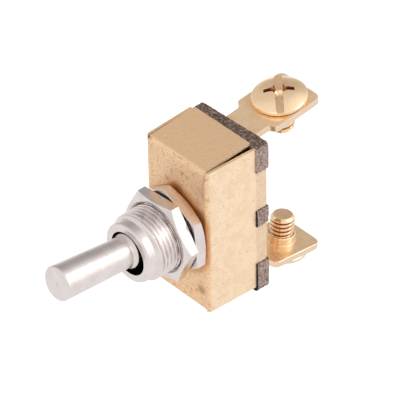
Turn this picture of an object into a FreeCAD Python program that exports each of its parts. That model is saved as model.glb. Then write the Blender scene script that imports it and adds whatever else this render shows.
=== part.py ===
import FreeCAD, Part
import os
import re

import Sketcher

# Panel toggle switch with a folded brass case, two screw terminals and a threaded bushing.
# Frame: the origin is on the bushing's axis at the case's front face. +Z runs up the case,
# +Y runs back to the terminals and the lever points to -Y. Lengths are in millimetres and
# angles in degrees. The lever is modelled thrown up, which closes the contact.

SIZES = {
    # Folded brass case: a front, two flared side walls and two flaps between them
    "case_width": 14.7,
    "case_height": 28.92,
    "case_depth": 10.2,
    "case_gauge": 0.5,
    "case_bend": 0.8,
    "wall_flare": 2.5,
    "flap_length": 10.05,
    "flap_tilt": 4.3,
    "flap_inset": 0.7,
    "flap_slit": 0.15,
    # Crimp tabs: two on each side wall, folded over the back of the base
    "crimp_low": 1.7,
    "crimp_high": 9.5,
    "crimp_bend": 0.8,
    "crimp_lip": 1.7,
    "crimp_play": 0.05,
    "crimp_seat": 0.4,
    # Insulating sleeve inside the case
    "liner_gauge": 0.35,
    "liner_play": 0.15,
    # Fibre base
    "base_gauge": 2.6,
    "base_proud": 0.35,
    "base_rise": 0.35,
    "base_slant": 0.6,
    "base_fall": 1.1,
    "base_play": 0.08,
    "base_corner": 0.8,
    # Threaded bushing with a smooth nose and a flange inside the case
    "thread_radius": 5.95,
    "thread_reach": 8.7,
    "bushing_reach": 10.9,
    "nose_radius": 5.35,
    "nose_step": 0.4,
    "nose_round": 0.9,
    "bore_radius": 3.82,
    "mouth_radius": 4.0,
    "mouth_depth": 2.5,
    "flange_play": 0.1,
    "flange_gauge": 1.2,
    "bushing_play": 0.04,
    "pin_slot_reach": 4.9,
    # Mounting nuts
    "nut_flats": 14.3,
    "nut_gauge": 2.2,
    "nut_face_inset": 0.175,
    "nut_bevel_angle": 25.0,
    "nut_sink": 0.45,
    "nut_play": 0.05,
    "front_nut_place": 4.94,
    "front_nut_turn": 4.2,
    "rear_nut_place": 2.4,
    "rear_nut_turn": 35.4,
    # Lever, with a ball and a bored tail
    "pivot_depth": 4.27,
    "lever_tilt": 6.4,
    "ball_play": 0.07,
    "collar_radius": 3.2,
    "collar_reach": 6.9,
    "shoulder_reach": 7.55,
    "root_radius": 2.75,
    "tip_radius": 2.93,
    "tip_reach": 21.7,
    "tip_round": 0.4,
    "pip_radius": 0.35,
    "pip_depth": 0.3,
    "tail_radius": 2.4,
    "tail_reach": 5.5,
    "tail_bore": 1.6,
    "tail_floor": 1.25,
    # Cross pin through the ball
    "pin_radius": 0.8,
    "pin_play": 0.04,
    "pin_end_play": 0.1,
    "pin_chamfer": 0.2,
    # Sprung plunger in the lever's tail
    "plunger_play": 0.04,
    "plunger_start": 2.1,
    "plunger_gap": 0.1,
    "plunger_bore": 1.05,
    "plunger_tip_wall": 1.9,
    "spring_radius": 0.8,
    "spring_wire": 0.14,
    "spring_turns": 9,
    "spring_play": 0.02,
    # Rocking contact arm
    "fulcrum_height": 3.1,
    "rocker_tilt": 5.0,
    "rocker_front": 0.87,
    "rocker_gauge": 0.8,
    "rocker_width": 4.4,
    "rocker_flat": 2.4,
    "rocker_knee": 5.2,
    "rocker_joggle": 0.8,
    "rocker_arm": 9.8,
    "trunnion_radius": 0.6,
    "trunnion_proud": 0.9,
    "contact_place": 7.8,
    "contact_radius": 1.5,
    "contact_gauge": 0.6,
    "contact_crown": 0.15,
    "contact_shank": 0.6,
    "contact_clinch_radius": 0.95,
    "contact_clinch_gauge": 0.3,
    # Bracket that carries the rocker
    "bracket_gauge": 0.6,
    "bracket_top": 10.3,
    "ear_play": 0.2,
    "ear_height": 2.0,
    "ear_front": 0.5,
    "trunnion_play": 0.06,
    # Rivets through the base
    "rivet_place": 8.0,
    "rivet_radius": 1.2,
    "rivet_head_radius": 2.1,
    "rivet_head_gauge": 0.7,
    "clinch_radius": 1.9,
    "clinch_gauge": 0.45,
    "button_radius": 1.6,
    "button_gauge": 0.88,
    # Terminals
    "terminal_gauge": 1.2,
    "terminal_tilt": 6.3,
    "terminal_bend": 1.6,
    "top_corner": 12.74,
    "bottom_corner": 16.05,
    "foot_end": 4.9,
    "neck_half": 3.5,
    "blade_half": 4.8,
    "shoulder_start": 4.3,
    "shoulder_end": 5.0,
    "blade_reach": 15.0,
    "blade_corner": 1.3,
    "boss_radius": 2.42,
    "boss_height": 1.5,
    "boss_root": 0.2,
    # Terminal screws
    "screw_place": 10.12,
    "screw_radius": 2.083,
    "screw_play": 0.04,
    "screw_proud": 5.1,
    "screw_point": 0.45,
    "head_radius": 4.7,
    "head_edge": 0.2,
    "head_rim": 0.6,
    "head_crown": 2.2,
    "head_play": 0.1,
    "slot_width": 1.2,
    "slot_floor": 0.7,
    "recess_span": 5.0,
    "recess_width": 0.95,
    "recess_floor": 0.45,
    "socket_radius": 1.15,
    "socket_floor": 0.1,
    "top_slot_turn": -38.0,
    "bottom_slot_turn": 24.0,
}

# Clearance by which a cutting profile runs past the solid that it cuts
CUT_MARGIN = 2.0
# Fewest cubic millimetres that a cut has to remove
LEAST_CUT = 0.001

X_AXIS = FreeCAD.Vector(1, 0, 0)
Y_AXIS = FreeCAD.Vector(0, 1, 0)
Z_AXIS = FreeCAD.Vector(0, 0, 1)
LEFT, RIGHT = 1, -1

doc = FreeCAD.newDocument("toggle_switch")
sheet = doc.addObject("Spreadsheet::Sheet", "Sizes")
for row, (alias, size) in enumerate(SIZES.items(), start=1):
    sheet.set(f"A{row}", alias)
    sheet.set(f"B{row}", str(size))
    sheet.setAlias(f"B{row}", alias)
doc.recompute()


# Formulas of size names


def bound(formula):
    """Turn a formula of size names into an expression on the sheet's cells."""
    return re.sub(r"[a-z_]+", lambda word: f"Sizes.{word[0]}" if word[0] in SIZES else word[0], formula)


def value(formula):
    """Work a formula of size names out as a number."""
    return float(sheet.evalExpression(bound(formula)))


def minus(formula):
    """The formula with its sign changed."""
    return "0" if formula == "0" else f"-({formula})"


# Bodies, sketches and outlines


def new_body(name):
    """An empty body for one sub-part."""
    body = doc.addObject("PartDesign::Body", name)
    body.Label = name
    return body


def origin_plane(body, role):
    """One of the body's own origin planes, found by its role."""
    return next(item for item in body.Origin.OriginFeatures if item.Role == role)


def new_sketch(body, name, plane, lift="0", lean="0"):
    """A sketch on one of the body's own origin planes.

    It is lifted along the plane's normal, or leans about its own level axis.
    """
    sketch = body.newObject("Sketcher::SketchObject", f"{body.Label}_{name}")
    sketch.AttachmentSupport = [(origin_plane(body, plane), "")]
    sketch.MapMode = "FlatFace"
    if lean != "0":
        turn = FreeCAD.Rotation(X_AXIS, value(lean))
        sketch.AttachmentOffset = FreeCAD.Placement(FreeCAD.Vector(), turn)
    if lift != "0":
        sketch.setExpression("AttachmentOffset.Base.z", bound(lift))
    return sketch


def fix_point(sketch, geometry, position, across, up):
    """Tie a point of the sketch to a pair of formulas."""
    for kind, axis, formula in (("DistanceX", -2, across), ("DistanceY", -1, up)):
        if formula == "0":
            sketch.addConstraint(Sketcher.Constraint("PointOnObject", geometry, position, axis))
            continue
        rule = Sketcher.Constraint(kind, -1, 1, geometry, position, value(formula))
        index = sketch.addConstraint(rule)
        sketch.setExpression(f"Constraints[{index}]", bound(formula))


def fix_radius(sketch, geometry, formula):
    """Tie the radius of an arc or circle to a formula."""
    index = sketch.addConstraint(Sketcher.Constraint("Radius", geometry, value(formula)))
    sketch.setExpression(f"Constraints[{index}]", bound(formula))


def arc_between(start, end, radius, turn):
    """The short arc of this radius from start to end that turns left or right."""
    chord = end - start
    rise = max(radius**2 - (chord.Length / 2) ** 2, 0.0) ** 0.5
    inward = FreeCAD.Vector(-chord.y, chord.x, 0).normalize() * turn
    centre = start + chord / 2 + inward * rise
    middle = centre - inward * radius
    return Part.Arc(start, middle, end)


def outline(sketch, path):
    """Draw a closed outline through the corners of path.

    A corner is (across, up). A corner (across, up, radius, turn) is reached by an arc.
    """
    corners = [FreeCAD.Vector(value(step[0]), value(step[1]), 0) for step in path]
    first = sketch.GeometryCount
    ends = []
    for index, step in enumerate(path):
        start, end = corners[index - 1], corners[index]
        if len(step) == 2:
            sketch.addGeometry(Part.LineSegment(start, end), False)
            ends.append((1, 2))
        else:
            turn = step[3]
            sketch.addGeometry(arc_between(start, end, value(step[2]), turn), False)
            ends.append((1, 2) if turn == LEFT else (2, 1))
    for index, step in enumerate(path):
        before = (index - 1) % len(path)
        joint = (first + before, ends[before][1], first + index, ends[index][0])
        sketch.addConstraint(Sketcher.Constraint("Coincident", *joint))
        fix_point(sketch, first + index, ends[index][1], step[0], step[1])
        if len(step) > 2:
            fix_radius(sketch, first + index, step[2])


def circle(sketch, across, up, radius):
    """Draw a circle round a point given by formulas."""
    centre = FreeCAD.Vector(value(across), value(up), 0)
    index = sketch.addGeometry(Part.Circle(centre, Z_AXIS, value(radius)), False)
    fix_point(sketch, index, 3, across, up)
    fix_radius(sketch, index, radius)


def mirrored_path(path):
    """The same outline on the other side of the sketch's upright axis, drawn the same way round."""
    corners = [(minus(step[0]), step[1]) for step in path]
    result = []
    for index in range(len(path) - 1, -1, -1):
        after = path[(index + 1) % len(path)]
        arc = tuple(after[2:]) if len(after) > 2 else ()
        result.append(corners[index] + arc)
    return result


def rectangle(sketch, left, right, low, high):
    """Draw an upright rectangle between four formulas."""
    outline(sketch, [(left, low), (right, low), (right, high), (left, high)])


# Features


def feature(body, kind, name, sketch):
    """Add a feature of this kind that works from the sketch."""
    item = body.newObject(f"PartDesign::{kind}", f"{body.Label}_{name}")
    item.Profile = sketch
    return item


def pad(body, name, sketch, length, centred=False):
    """Raise the sketch by a length along its normal, or by half of it each way."""
    item = feature(body, "Pad", name, sketch)
    item.setExpression("Length", bound(length))
    item.SideType = "Symmetric" if centred else "One side"
    doc.recompute()
    return item


def turned(body, name, sketch, kind="Revolution"):
    """A full turn of the sketch about its upright axis."""
    before = body.Shape.Volume if kind == "Groove" else 0
    item = feature(body, kind, name, sketch)
    item.ReferenceAxis = (sketch, ["V_Axis"])
    item.Angle = 360
    doc.recompute()
    if kind == "Groove":
        check_cut(item, before)
    return item


def pocket(body, name, sketch, depth=None):
    """Cut the sketch through the whole body, or by depth in all, half to each side of it."""
    before = body.Shape.Volume
    item = feature(body, "Pocket", name, sketch)
    item.SideType = "Symmetric"
    if depth is None:
        item.Type = "ThroughAll"
    else:
        item.setExpression("Length", bound(depth))
    doc.recompute()
    check_cut(item, before)
    return item


def check_cut(item, before):
    """Stop where a cut left the solid as it was."""
    if item.Shape.Volume > before - LEAST_CUT:
        raise RuntimeError(f"{item.Label} cuts nothing")


def mirror(body, name, originals, plane):
    """Repeat features on the other side of one of the body's origin planes."""
    item = body.newObject("PartDesign::Mirrored", f"{body.Label}_{name}")
    item.Originals = originals
    item.MirrorPlane = (origin_plane(body, plane), [""])
    body.Tip = item
    doc.recompute()
    return item


def place(item, across="0", back="0", up="0", rotation=FreeCAD.Rotation()):
    """Set an object down at a point given by formulas, turned about its own origin."""
    item.Placement = FreeCAD.Placement(FreeCAD.Vector(), rotation)
    for letter, formula in (("x", across), ("y", back), ("z", up)):
        if formula != "0":
            item.setExpression(f"Placement.Base.{letter}", bound(formula))


# Lines that several pieces share

FLARE = "tan(wall_flare)"
WALL_OUT = f"case_width/2 + case_depth*{FLARE}"
WALL_IN = f"{WALL_OUT} - case_gauge/cos(wall_flare)"
BASE_BACK = "case_depth + base_gauge"
NOTCH = f"{WALL_IN} - base_play"
TAB = f"{WALL_OUT} + base_proud"
CRIMP_BACK = f"{BASE_BACK} - crimp_seat + crimp_play + case_gauge"
CRIMP_CORNER = f"case_width/2 + ({CRIMP_BACK})*{FLARE}"
LINER_OUT = "case_width/2 - case_gauge - liner_play"
FLANGE = f"{LINER_OUT} - liner_gauge - flange_play"
FULCRUM = "case_depth - fulcrum_height"
PLUNGER_TIP = f"(pivot_depth + {FULCRUM} - rocker_front - plunger_gap)"
LEVER_TURN = FreeCAD.Rotation(X_AXIS, -value("lever_tilt"))
ROCKER_TURN = FreeCAD.Rotation(X_AXIS, value("rocker_tilt"))


def case_wall():
    """Half of the case's section: half the front, the bend and one flared side wall."""
    run = "case_bend*tan(45 - wall_flare/2)"
    bend_out = f"case_width/2 - {run}"
    wall_x = f"case_width/2 + {run}*sin(wall_flare)"
    wall_y = f"{run}*cos(wall_flare)"
    return [
        ("0", "0"),
        (bend_out, "0"),
        (wall_x, wall_y, "case_bend", LEFT),
        (WALL_OUT, "case_depth"),
        (WALL_IN, "case_depth"),
        (f"{wall_x} - case_gauge*cos(wall_flare)", f"{wall_y} + case_gauge*sin(wall_flare)"),
        (bend_out, "case_gauge", "case_bend - case_gauge", RIGHT),
        ("0", "case_gauge"),
    ]


def crimp_tab():
    """Section of one crimp tab: on from the side wall, then folded in over the base."""
    run = "crimp_bend*tan(45 + wall_flare/2)"
    out_x = f"{CRIMP_CORNER} - {run}*sin(wall_flare)"
    out_y = f"{CRIMP_BACK} - {run}*cos(wall_flare)"
    lip_end = f"{CRIMP_CORNER} - crimp_lip"
    lip_front = f"{CRIMP_BACK} - case_gauge"
    start = "case_depth - case_gauge"
    start_out = f"case_width/2 + ({start})*{FLARE}"
    return [
        (start_out, start),
        (out_x, out_y),
        (f"{CRIMP_CORNER} - {run}", CRIMP_BACK, "crimp_bend", LEFT),
        (lip_end, CRIMP_BACK),
        (lip_end, lip_front),
        (f"{CRIMP_CORNER} - {run}", lip_front),
        (
            f"{out_x} - case_gauge*cos(wall_flare)",
            f"{out_y} + case_gauge*sin(wall_flare)",
            "crimp_bend - case_gauge",
            RIGHT,
        ),
        (f"{start_out} - case_gauge/cos(wall_flare)", start),
    ]


def case_flap():
    """Section of the upper flap: up the front, round the bend and back, tilted open."""
    run = "case_bend*tan(45 - flap_tilt/2)"
    bend_up = f"case_height/2 - {run}"
    flap_y = f"{run}*cos(flap_tilt)"
    flap_z = f"case_height/2 + {run}*sin(flap_tilt)"
    end_y = "flap_length"
    end_z = "case_height/2 + flap_length*tan(flap_tilt)"
    return [
        ("0", "case_height/2 - 2*case_bend"),
        ("case_gauge", "case_height/2 - 2*case_bend"),
        ("case_gauge", bend_up),
        (
            f"{flap_y} + case_gauge*sin(flap_tilt)",
            f"{flap_z} - case_gauge*cos(flap_tilt)",
            "case_bend - case_gauge",
            RIGHT,
        ),
        (f"{end_y} + case_gauge*sin(flap_tilt)", f"{end_z} - case_gauge*cos(flap_tilt)"),
        (end_y, end_z),
        (flap_y, flap_z),
        ("0", bend_up, "case_bend", LEFT),
    ]


def make_case():
    """The brass case, folded from one sheet and crimped over the base."""
    body = new_body("case")
    wall = new_sketch(body, "wall_section", "XY_Plane")
    outline(wall, case_wall())
    walls = pad(body, "wall", wall, "case_height", centred=True)
    mirror(body, "other_wall", [walls], "YZ_Plane")
    relief = new_sketch(body, "relief", "XZ_Plane")
    half = "case_width/2 - flap_inset + flap_slit"
    top = f"case_height/2 + {CUT_MARGIN}"
    rectangle(relief, minus(half), half, "case_height/2 - case_bend", top)
    upper_relief = pocket(body, "upper_relief", relief, "4*case_bend")
    mirror(body, "lower_relief", [upper_relief], "XY_Plane")
    side = new_sketch(body, "flap_section", "YZ_Plane")
    outline(side, case_flap())
    flap = pad(body, "upper_flap", side, "case_width - 2*flap_inset", centred=True)
    mirror(body, "lower_flap", [flap], "XY_Plane")
    tab = new_sketch(body, "crimp_section", "XY_Plane", lift="crimp_low")
    outline(tab, crimp_tab())
    outline(tab, mirrored_path(crimp_tab()))
    tabs = pad(body, "upper_crimps", tab, "crimp_high - crimp_low")
    mirror(body, "lower_crimps", [tabs], "XY_Plane")
    hole = new_sketch(body, "hole", "XZ_Plane")
    circle(hole, "0", "0", "thread_radius + bushing_play")
    pocket(body, "bushing_hole", hole, "4*case_gauge")
    return body


def make_liner():
    """The insulating sleeve between the case and the live parts."""
    body = new_body("insulating_liner")
    wall = new_sketch(body, "section", "XZ_Plane")
    half_width = LINER_OUT
    half_height = "case_height/2 - case_gauge - liner_play"
    rectangle(wall, minus(half_width), half_width, minus(half_height), half_height)
    inner_width = f"{half_width} - liner_gauge"
    inner_height = f"{half_height} - liner_gauge"
    rectangle(wall, minus(inner_width), inner_width, minus(inner_height), inner_height)
    sleeve = pad(body, "sleeve", wall, "case_depth - case_bend")
    sleeve.Reversed = True
    place(body, back="case_bend")
    return body


def base_edge(top):
    """The base's upper right edge up to its top: the middle tab, the crimps' notch and the upper tab."""
    return [
        (TAB, "0"),
        (TAB, "crimp_low - crimp_play"),
        (NOTCH, "crimp_low - crimp_play"),
        (NOTCH, "crimp_high + crimp_play"),
        (TAB, "crimp_high + crimp_play"),
        (TAB, f"{top} - base_corner"),
        (f"{TAB} - base_corner", top, "base_corner", LEFT),
    ]


def half_turned(path):
    """The same outline after half a turn about the sketch's origin, drawn the same way round."""
    return [(minus(step[0]), minus(step[1])) + tuple(step[2:]) for step in path]


def make_base():
    """The vulcanised fibre base that closes the case and carries the terminals.

    It was cut a little askew: its top edge slants down to the left, and its lower end is longer.
    """
    body = new_body("base_plate")
    right_edge = base_edge("case_height/2 + base_rise")
    left_edge = base_edge("case_height/2 + base_rise - base_slant")
    upper = new_sketch(body, "upper_plan", "XZ_Plane")
    outline(upper, right_edge + mirrored_path(left_edge))
    lower_edge = base_edge("case_height/2 + base_fall")
    lower = new_sketch(body, "lower_plan", "XZ_Plane")
    outline(lower, half_turned(lower_edge + mirrored_path(lower_edge)))
    for name, plan in (("upper_half", upper), ("lower_half", lower)):
        half = pad(body, name, plan, "base_gauge")
        half.Reversed = True
        doc.recompute()
    seat = new_sketch(body, "crimp_seats", "XZ_Plane", lift="-base_gauge")
    inner, outer = f"{CRIMP_CORNER} - crimp_lip - crimp_play", TAB
    low, high = "crimp_low - crimp_play", "crimp_high + crimp_play"
    for left, right in ((inner, outer), (minus(outer), minus(inner))):
        rectangle(seat, left, right, low, high)
        rectangle(seat, left, right, minus(high), minus(low))
    pocket(body, "crimp_seat", seat, "2*crimp_seat")
    holes = new_sketch(body, "rivet_holes", "XZ_Plane")
    for up in ("rivet_place", "-rivet_place"):
        circle(holes, "0", up, "rivet_radius")
    pocket(body, "rivet_hole", holes)
    place(body, back="case_depth")
    return body


def make_bushing():
    """The turned bushing: threaded length, smooth nose, bore, flange and two pin slots."""
    body = new_body("bushing")
    half = new_sketch(body, "profile", "XY_Plane")
    outline(
        half,
        [
            ("bore_radius", "case_gauge + flange_gauge"),
            ("bore_radius", "-(bushing_reach - mouth_depth)"),
            ("mouth_radius", "-bushing_reach"),
            ("nose_radius - nose_round", "-bushing_reach"),
            ("nose_radius", "-(bushing_reach - nose_round)", "nose_round", LEFT),
            ("nose_radius", "-(thread_reach + nose_step)"),
            ("thread_radius", "-thread_reach"),
            ("thread_radius", "case_gauge"),
            (FLANGE, "case_gauge"),
            (FLANGE, "case_gauge + flange_gauge"),
        ],
    )
    turned(body, "turning", half)
    slot = new_sketch(body, "slot", "YZ_Plane")
    half_slot = "pin_radius + pin_play"
    past = f"case_gauge + flange_gauge + {CUT_MARGIN}"
    outline(
        slot,
        [
            ("-pivot_depth", minus(half_slot), half_slot, LEFT),
            (past, minus(half_slot)),
            (past, half_slot),
            ("-pivot_depth", half_slot),
            (f"-pivot_depth - ({half_slot})", "0", half_slot, LEFT),
        ],
    )
    pocket(body, "pin_slots", slot, "2*pin_slot_reach")
    return body


def make_nut(name, front, turn, bevel_in_front):
    """A thin hexagon nut on the bushing, its corners bevelled on one face."""
    body = new_body(name)
    shape = new_sketch(body, "hexagon", "XZ_Plane")
    corner = "nut_flats/(2*cos(30))"
    outline(
        shape,
        [(f"{corner}*cos({turn} + {60 * k})", f"{corner}*sin({turn} + {60 * k})") for k in range(6)],
    )
    blank = pad(body, "blank", shape, "nut_gauge")
    blank.Reversed = True
    doc.recompute()
    bore = "thread_radius + nut_play"
    hole = new_sketch(body, "hole", "XZ_Plane")
    circle(hole, "0", "0", bore)
    pocket(body, "thread", hole)
    inner, outer = "thread_radius/2", f"{bore} + nut_sink"
    for side, face, depth in (("front", "0", "nut_sink"), ("back", "nut_gauge", "nut_gauge - nut_sink")):
        sink = new_sketch(body, f"{side}_sink", "XY_Plane")
        outline(sink, [(inner, face), (outer, face), (bore, depth), (inner, depth)])
        turned(body, f"{side}_countersink", sink, kind="Groove")
    bevel = new_sketch(body, "bevel", "XY_Plane")
    flat = "nut_flats/2 - nut_face_inset"
    rim = f"{corner} + {CUT_MARGIN}"
    fall = f"({rim} - ({flat}))*tan(nut_bevel_angle)"
    if bevel_in_front:
        outline(bevel, [(flat, "0"), (rim, fall), (rim, f"-{CUT_MARGIN}"), (flat, f"-{CUT_MARGIN}")])
    else:
        past = f"nut_gauge + {CUT_MARGIN}"
        outline(bevel, [(flat, "nut_gauge"), (rim, f"nut_gauge - {fall}"), (rim, past), (flat, past)])
    turned(body, "corner_bevel", bevel, kind="Groove")
    place(body, back=minus(front))
    return body


def make_lever():
    """The lever: a slightly tapered rod, a collar, the ball and a tail bored for the plunger."""
    body = new_body("lever")
    half = new_sketch(body, "profile", "XY_Plane")
    ball = "(bore_radius - ball_play)"
    outline(
        half,
        [
            ("0", "-tip_reach + pip_depth"),
            ("pip_radius", "-tip_reach"),
            ("tip_radius - tip_round", "-tip_reach"),
            ("tip_radius", "-tip_reach + tip_round", "tip_round", LEFT),
            ("root_radius", "-shoulder_reach"),
            ("collar_radius", "-collar_reach"),
            ("collar_radius", f"-sqrt({ball}^2 - collar_radius^2)"),
            ("tail_radius", f"sqrt({ball}^2 - tail_radius^2)", ball, LEFT),
            ("tail_radius", "tail_reach"),
            ("tail_bore", "tail_reach"),
            ("tail_bore", "tail_floor"),
            ("0", "tail_floor"),
        ],
    )
    turned(body, "turning", half)
    cross = new_sketch(body, "cross_hole", "YZ_Plane")
    circle(cross, "0", "0", "pin_radius")
    pocket(body, "pin_hole", cross)
    place(body, back="-pivot_depth", rotation=LEVER_TURN)
    return body


def make_pin():
    """The pivot pin, tight in the ball and free in the bushing's slots."""
    body = new_body("pivot_pin")
    half = new_sketch(body, "profile", "XY_Plane")
    end = "pin_slot_reach - pin_end_play"
    outline(
        half,
        [
            ("0", minus(end)),
            ("pin_radius - pin_chamfer", minus(end)),
            ("pin_radius", f"pin_chamfer - ({end})"),
            ("pin_radius", f"{end} - pin_chamfer"),
            ("pin_radius - pin_chamfer", end),
            ("0", end),
        ],
    )
    turned(body, "turning", half)
    place(body, back="-pivot_depth", rotation=FreeCAD.Rotation(Z_AXIS, -90))
    return body


def make_plunger():
    """The hollow plunger with a round tip that rides on the rocker."""
    body = new_body("plunger")
    half = new_sketch(body, "profile", "XY_Plane")
    radius = "(tail_bore - plunger_play)"
    outline(
        half,
        [
            ("plunger_bore", "plunger_start"),
            (radius, "plunger_start"),
            (radius, f"{PLUNGER_TIP} - {radius}"),
            ("0", PLUNGER_TIP, radius, LEFT),
            ("0", f"{PLUNGER_TIP} - plunger_tip_wall"),
            ("plunger_bore", f"{PLUNGER_TIP} - plunger_tip_wall"),
        ],
    )
    turned(body, "turning", half)
    place(body, back="-pivot_depth", rotation=LEVER_TURN)
    return body


def make_spring():
    """The coil spring between the tail's floor and the plunger's floor."""
    body = new_body("plunger_spring")
    wire = new_sketch(body, "wire", "XZ_Plane")
    low = "tail_floor + spring_wire + spring_play"
    high = f"{PLUNGER_TIP} - plunger_tip_wall - spring_wire - spring_play"
    circle(wire, "spring_radius", low, "spring_wire")
    coil = body.newObject("PartDesign::AdditiveHelix", "spring_coil")
    coil.Profile = wire
    coil.ReferenceAxis = (wire, ["V_Axis"])
    coil.Mode = "height-turns-angle"
    coil.setExpression("Height", bound(f"{high} - ({low})"))
    coil.setExpression("Turns", bound("spring_turns"))
    doc.recompute()
    place(body, back="-pivot_depth", rotation=FreeCAD.Rotation(X_AXIS, -90 - value("lever_tilt")))
    return body


def rocker_side():
    """Side outline of the rocker: a flat saddle with both arms stepped back."""
    front = "-rocker_front"
    step = "-rocker_front + rocker_joggle"
    near = [(front, "rocker_flat"), (step, "rocker_knee"), (step, "rocker_arm")]
    far = [(f"{across} + rocker_gauge", up) for across, up in reversed(near)]
    upper = near + far
    lower = [(across, minus(up)) for across, up in reversed(upper)]
    return upper + lower


def make_rocker():
    """The see-saw contact arm with a trunnion on each side."""
    body = new_body("rocker")
    side = new_sketch(body, "side", "YZ_Plane")
    outline(side, rocker_side())
    pad(body, "strip", side, "rocker_width", centred=True)
    axle = new_sketch(body, "axle", "YZ_Plane")
    circle(axle, "0", "0", "trunnion_radius")
    pad(body, "trunnions", axle, "rocker_width + 2*trunnion_proud", centred=True)
    hole = new_sketch(body, "contact_hole", "XZ_Plane")
    circle(hole, "0", "-contact_place", "contact_shank")
    pocket(body, "contact_seat", hole)
    place(body, back=FULCRUM, rotation=ROCKER_TURN)
    return body


def make_moving_contact():
    """The contact button riveted through the rocker's lower arm."""
    body = new_body("moving_contact")
    half = new_sketch(body, "profile", "XY_Plane")
    arm_front = "rocker_joggle - rocker_front"
    arm_back = f"{arm_front} + rocker_gauge"
    face = f"{arm_back} + contact_gauge"
    outline(
        half,
        [
            ("0", f"{arm_front} - contact_clinch_gauge"),
            ("contact_clinch_radius", f"{arm_front} - contact_clinch_gauge"),
            ("contact_clinch_radius", arm_front),
            ("contact_shank", arm_front),
            ("contact_shank", arm_back),
            ("contact_radius", arm_back),
            ("contact_radius", f"{face} - contact_crown"),
            ("0", face, "(contact_radius^2 + contact_crown^2)/(2*contact_crown)", LEFT),
        ],
    )
    turned(body, "turning", half)
    back = f"{FULCRUM} + contact_place*sin(rocker_tilt)"
    place(body, back=back, up="-contact_place*cos(rocker_tilt)", rotation=ROCKER_TURN)
    return body


def make_bracket():
    """The bracket riveted inside the base, with two notched ears that carry the rocker."""
    body = new_body("fulcrum_bracket")
    inner = "rocker_width/2 + ear_play"
    outer = f"{inner} + bracket_gauge"
    plate = new_sketch(body, "plate", "XZ_Plane")
    rectangle(plate, minus(outer), outer, "-ear_height", "bracket_top")
    pad(body, "back", plate, "bracket_gauge")
    ears = new_sketch(body, "ears", "XZ_Plane")
    for left, right in ((inner, outer), (minus(outer), minus(inner))):
        rectangle(ears, left, right, "-ear_height", "ear_height")
    pad(body, "ear", ears, "fulcrum_height + ear_front")
    notch = new_sketch(body, "notch", "YZ_Plane")
    seat = "-fulcrum_height"
    half = "(trunnion_radius + trunnion_play)"
    mouth = f"{seat} - ear_front - {CUT_MARGIN}"
    outline(
        notch,
        [
            (mouth, minus(half)),
            (seat, minus(half)),
            (f"{seat} + {half}", "0", half, LEFT),
            (seat, half, half, LEFT),
            (mouth, half),
        ],
    )
    pocket(body, "notches", notch)
    hole = new_sketch(body, "rivet_hole", "XZ_Plane")
    circle(hole, "0", "rivet_place", "rivet_radius")
    pocket(body, "rivet_seat", hole)
    place(body, back="case_depth")
    return body


def make_rivet(name, up, front_radius, front_face, front_seat):
    """A rivet through the base and a terminal's foot, headed behind the foot."""
    body = new_body(name)
    half = new_sketch(body, "profile", "XY_Plane")
    foot = f"{BASE_BACK} + terminal_gauge"
    head = f"{foot} + rivet_head_gauge"
    outline(
        half,
        [
            ("0", front_face),
            (front_radius, front_face),
            (front_radius, front_seat),
            ("rivet_radius", front_seat),
            ("rivet_radius", foot),
            ("rivet_head_radius", foot),
            ("0", head, "(rivet_head_radius^2 + rivet_head_gauge^2)/(2*rivet_head_gauge)", LEFT),
        ],
    )
    turned(body, "turning", half)
    place(body, up=up)
    return body


def terminal_side(corner):
    """Side outline of a terminal in its blade's frame: the blade lies level, its foot hangs down."""
    run = "terminal_bend*tan(45 - terminal_tilt/2)"
    foot = f"({corner} - foot_end)"
    sine, cosine = "sin(terminal_tilt)", "cos(terminal_tilt)"
    return [
        (f"-{foot}*{sine}", f"-{foot}*{cosine}"),
        (f"terminal_gauge*{cosine} - {foot}*{sine}", f"-{foot}*{cosine} - terminal_gauge*{sine}"),
        (f"terminal_gauge*{cosine} - {run}*{sine}", f"-{run}*{cosine} - terminal_gauge*{sine}"),
        (run, "-terminal_gauge", "terminal_bend - terminal_gauge", RIGHT),
        ("blade_reach", "-terminal_gauge"),
        ("blade_reach", "0"),
        (run, "0"),
        (f"-{run}*{sine}", f"-{run}*{cosine}", "terminal_bend", LEFT),
    ]


def terminal_trim():
    """What is cut from one side of a terminal's strip: beside the neck and round the corner."""
    far = f"blade_half + {CUT_MARGIN}"
    return [
        ("neck_half", f"-2*{CUT_MARGIN}"),
        (far, f"-2*{CUT_MARGIN}"),
        (far, f"blade_reach + {CUT_MARGIN}"),
        ("blade_half - blade_corner", f"blade_reach + {CUT_MARGIN}"),
        ("blade_half - blade_corner", "blade_reach"),
        ("blade_half", "blade_reach - blade_corner", "blade_corner", RIGHT),
        ("blade_half", "shoulder_end"),
        ("neck_half", "shoulder_start"),
    ]


def terminal_boss():
    """Half section of the boss drawn down from the blade, with a flared root."""
    low = "-(terminal_gauge + boss_height)"
    return [
        ("0", "-terminal_gauge"),
        ("boss_radius + boss_root", "-terminal_gauge"),
        ("boss_radius", "-(terminal_gauge + boss_root)", "boss_root", LEFT),
        ("boss_radius", low),
        ("0", low),
    ]


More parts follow.
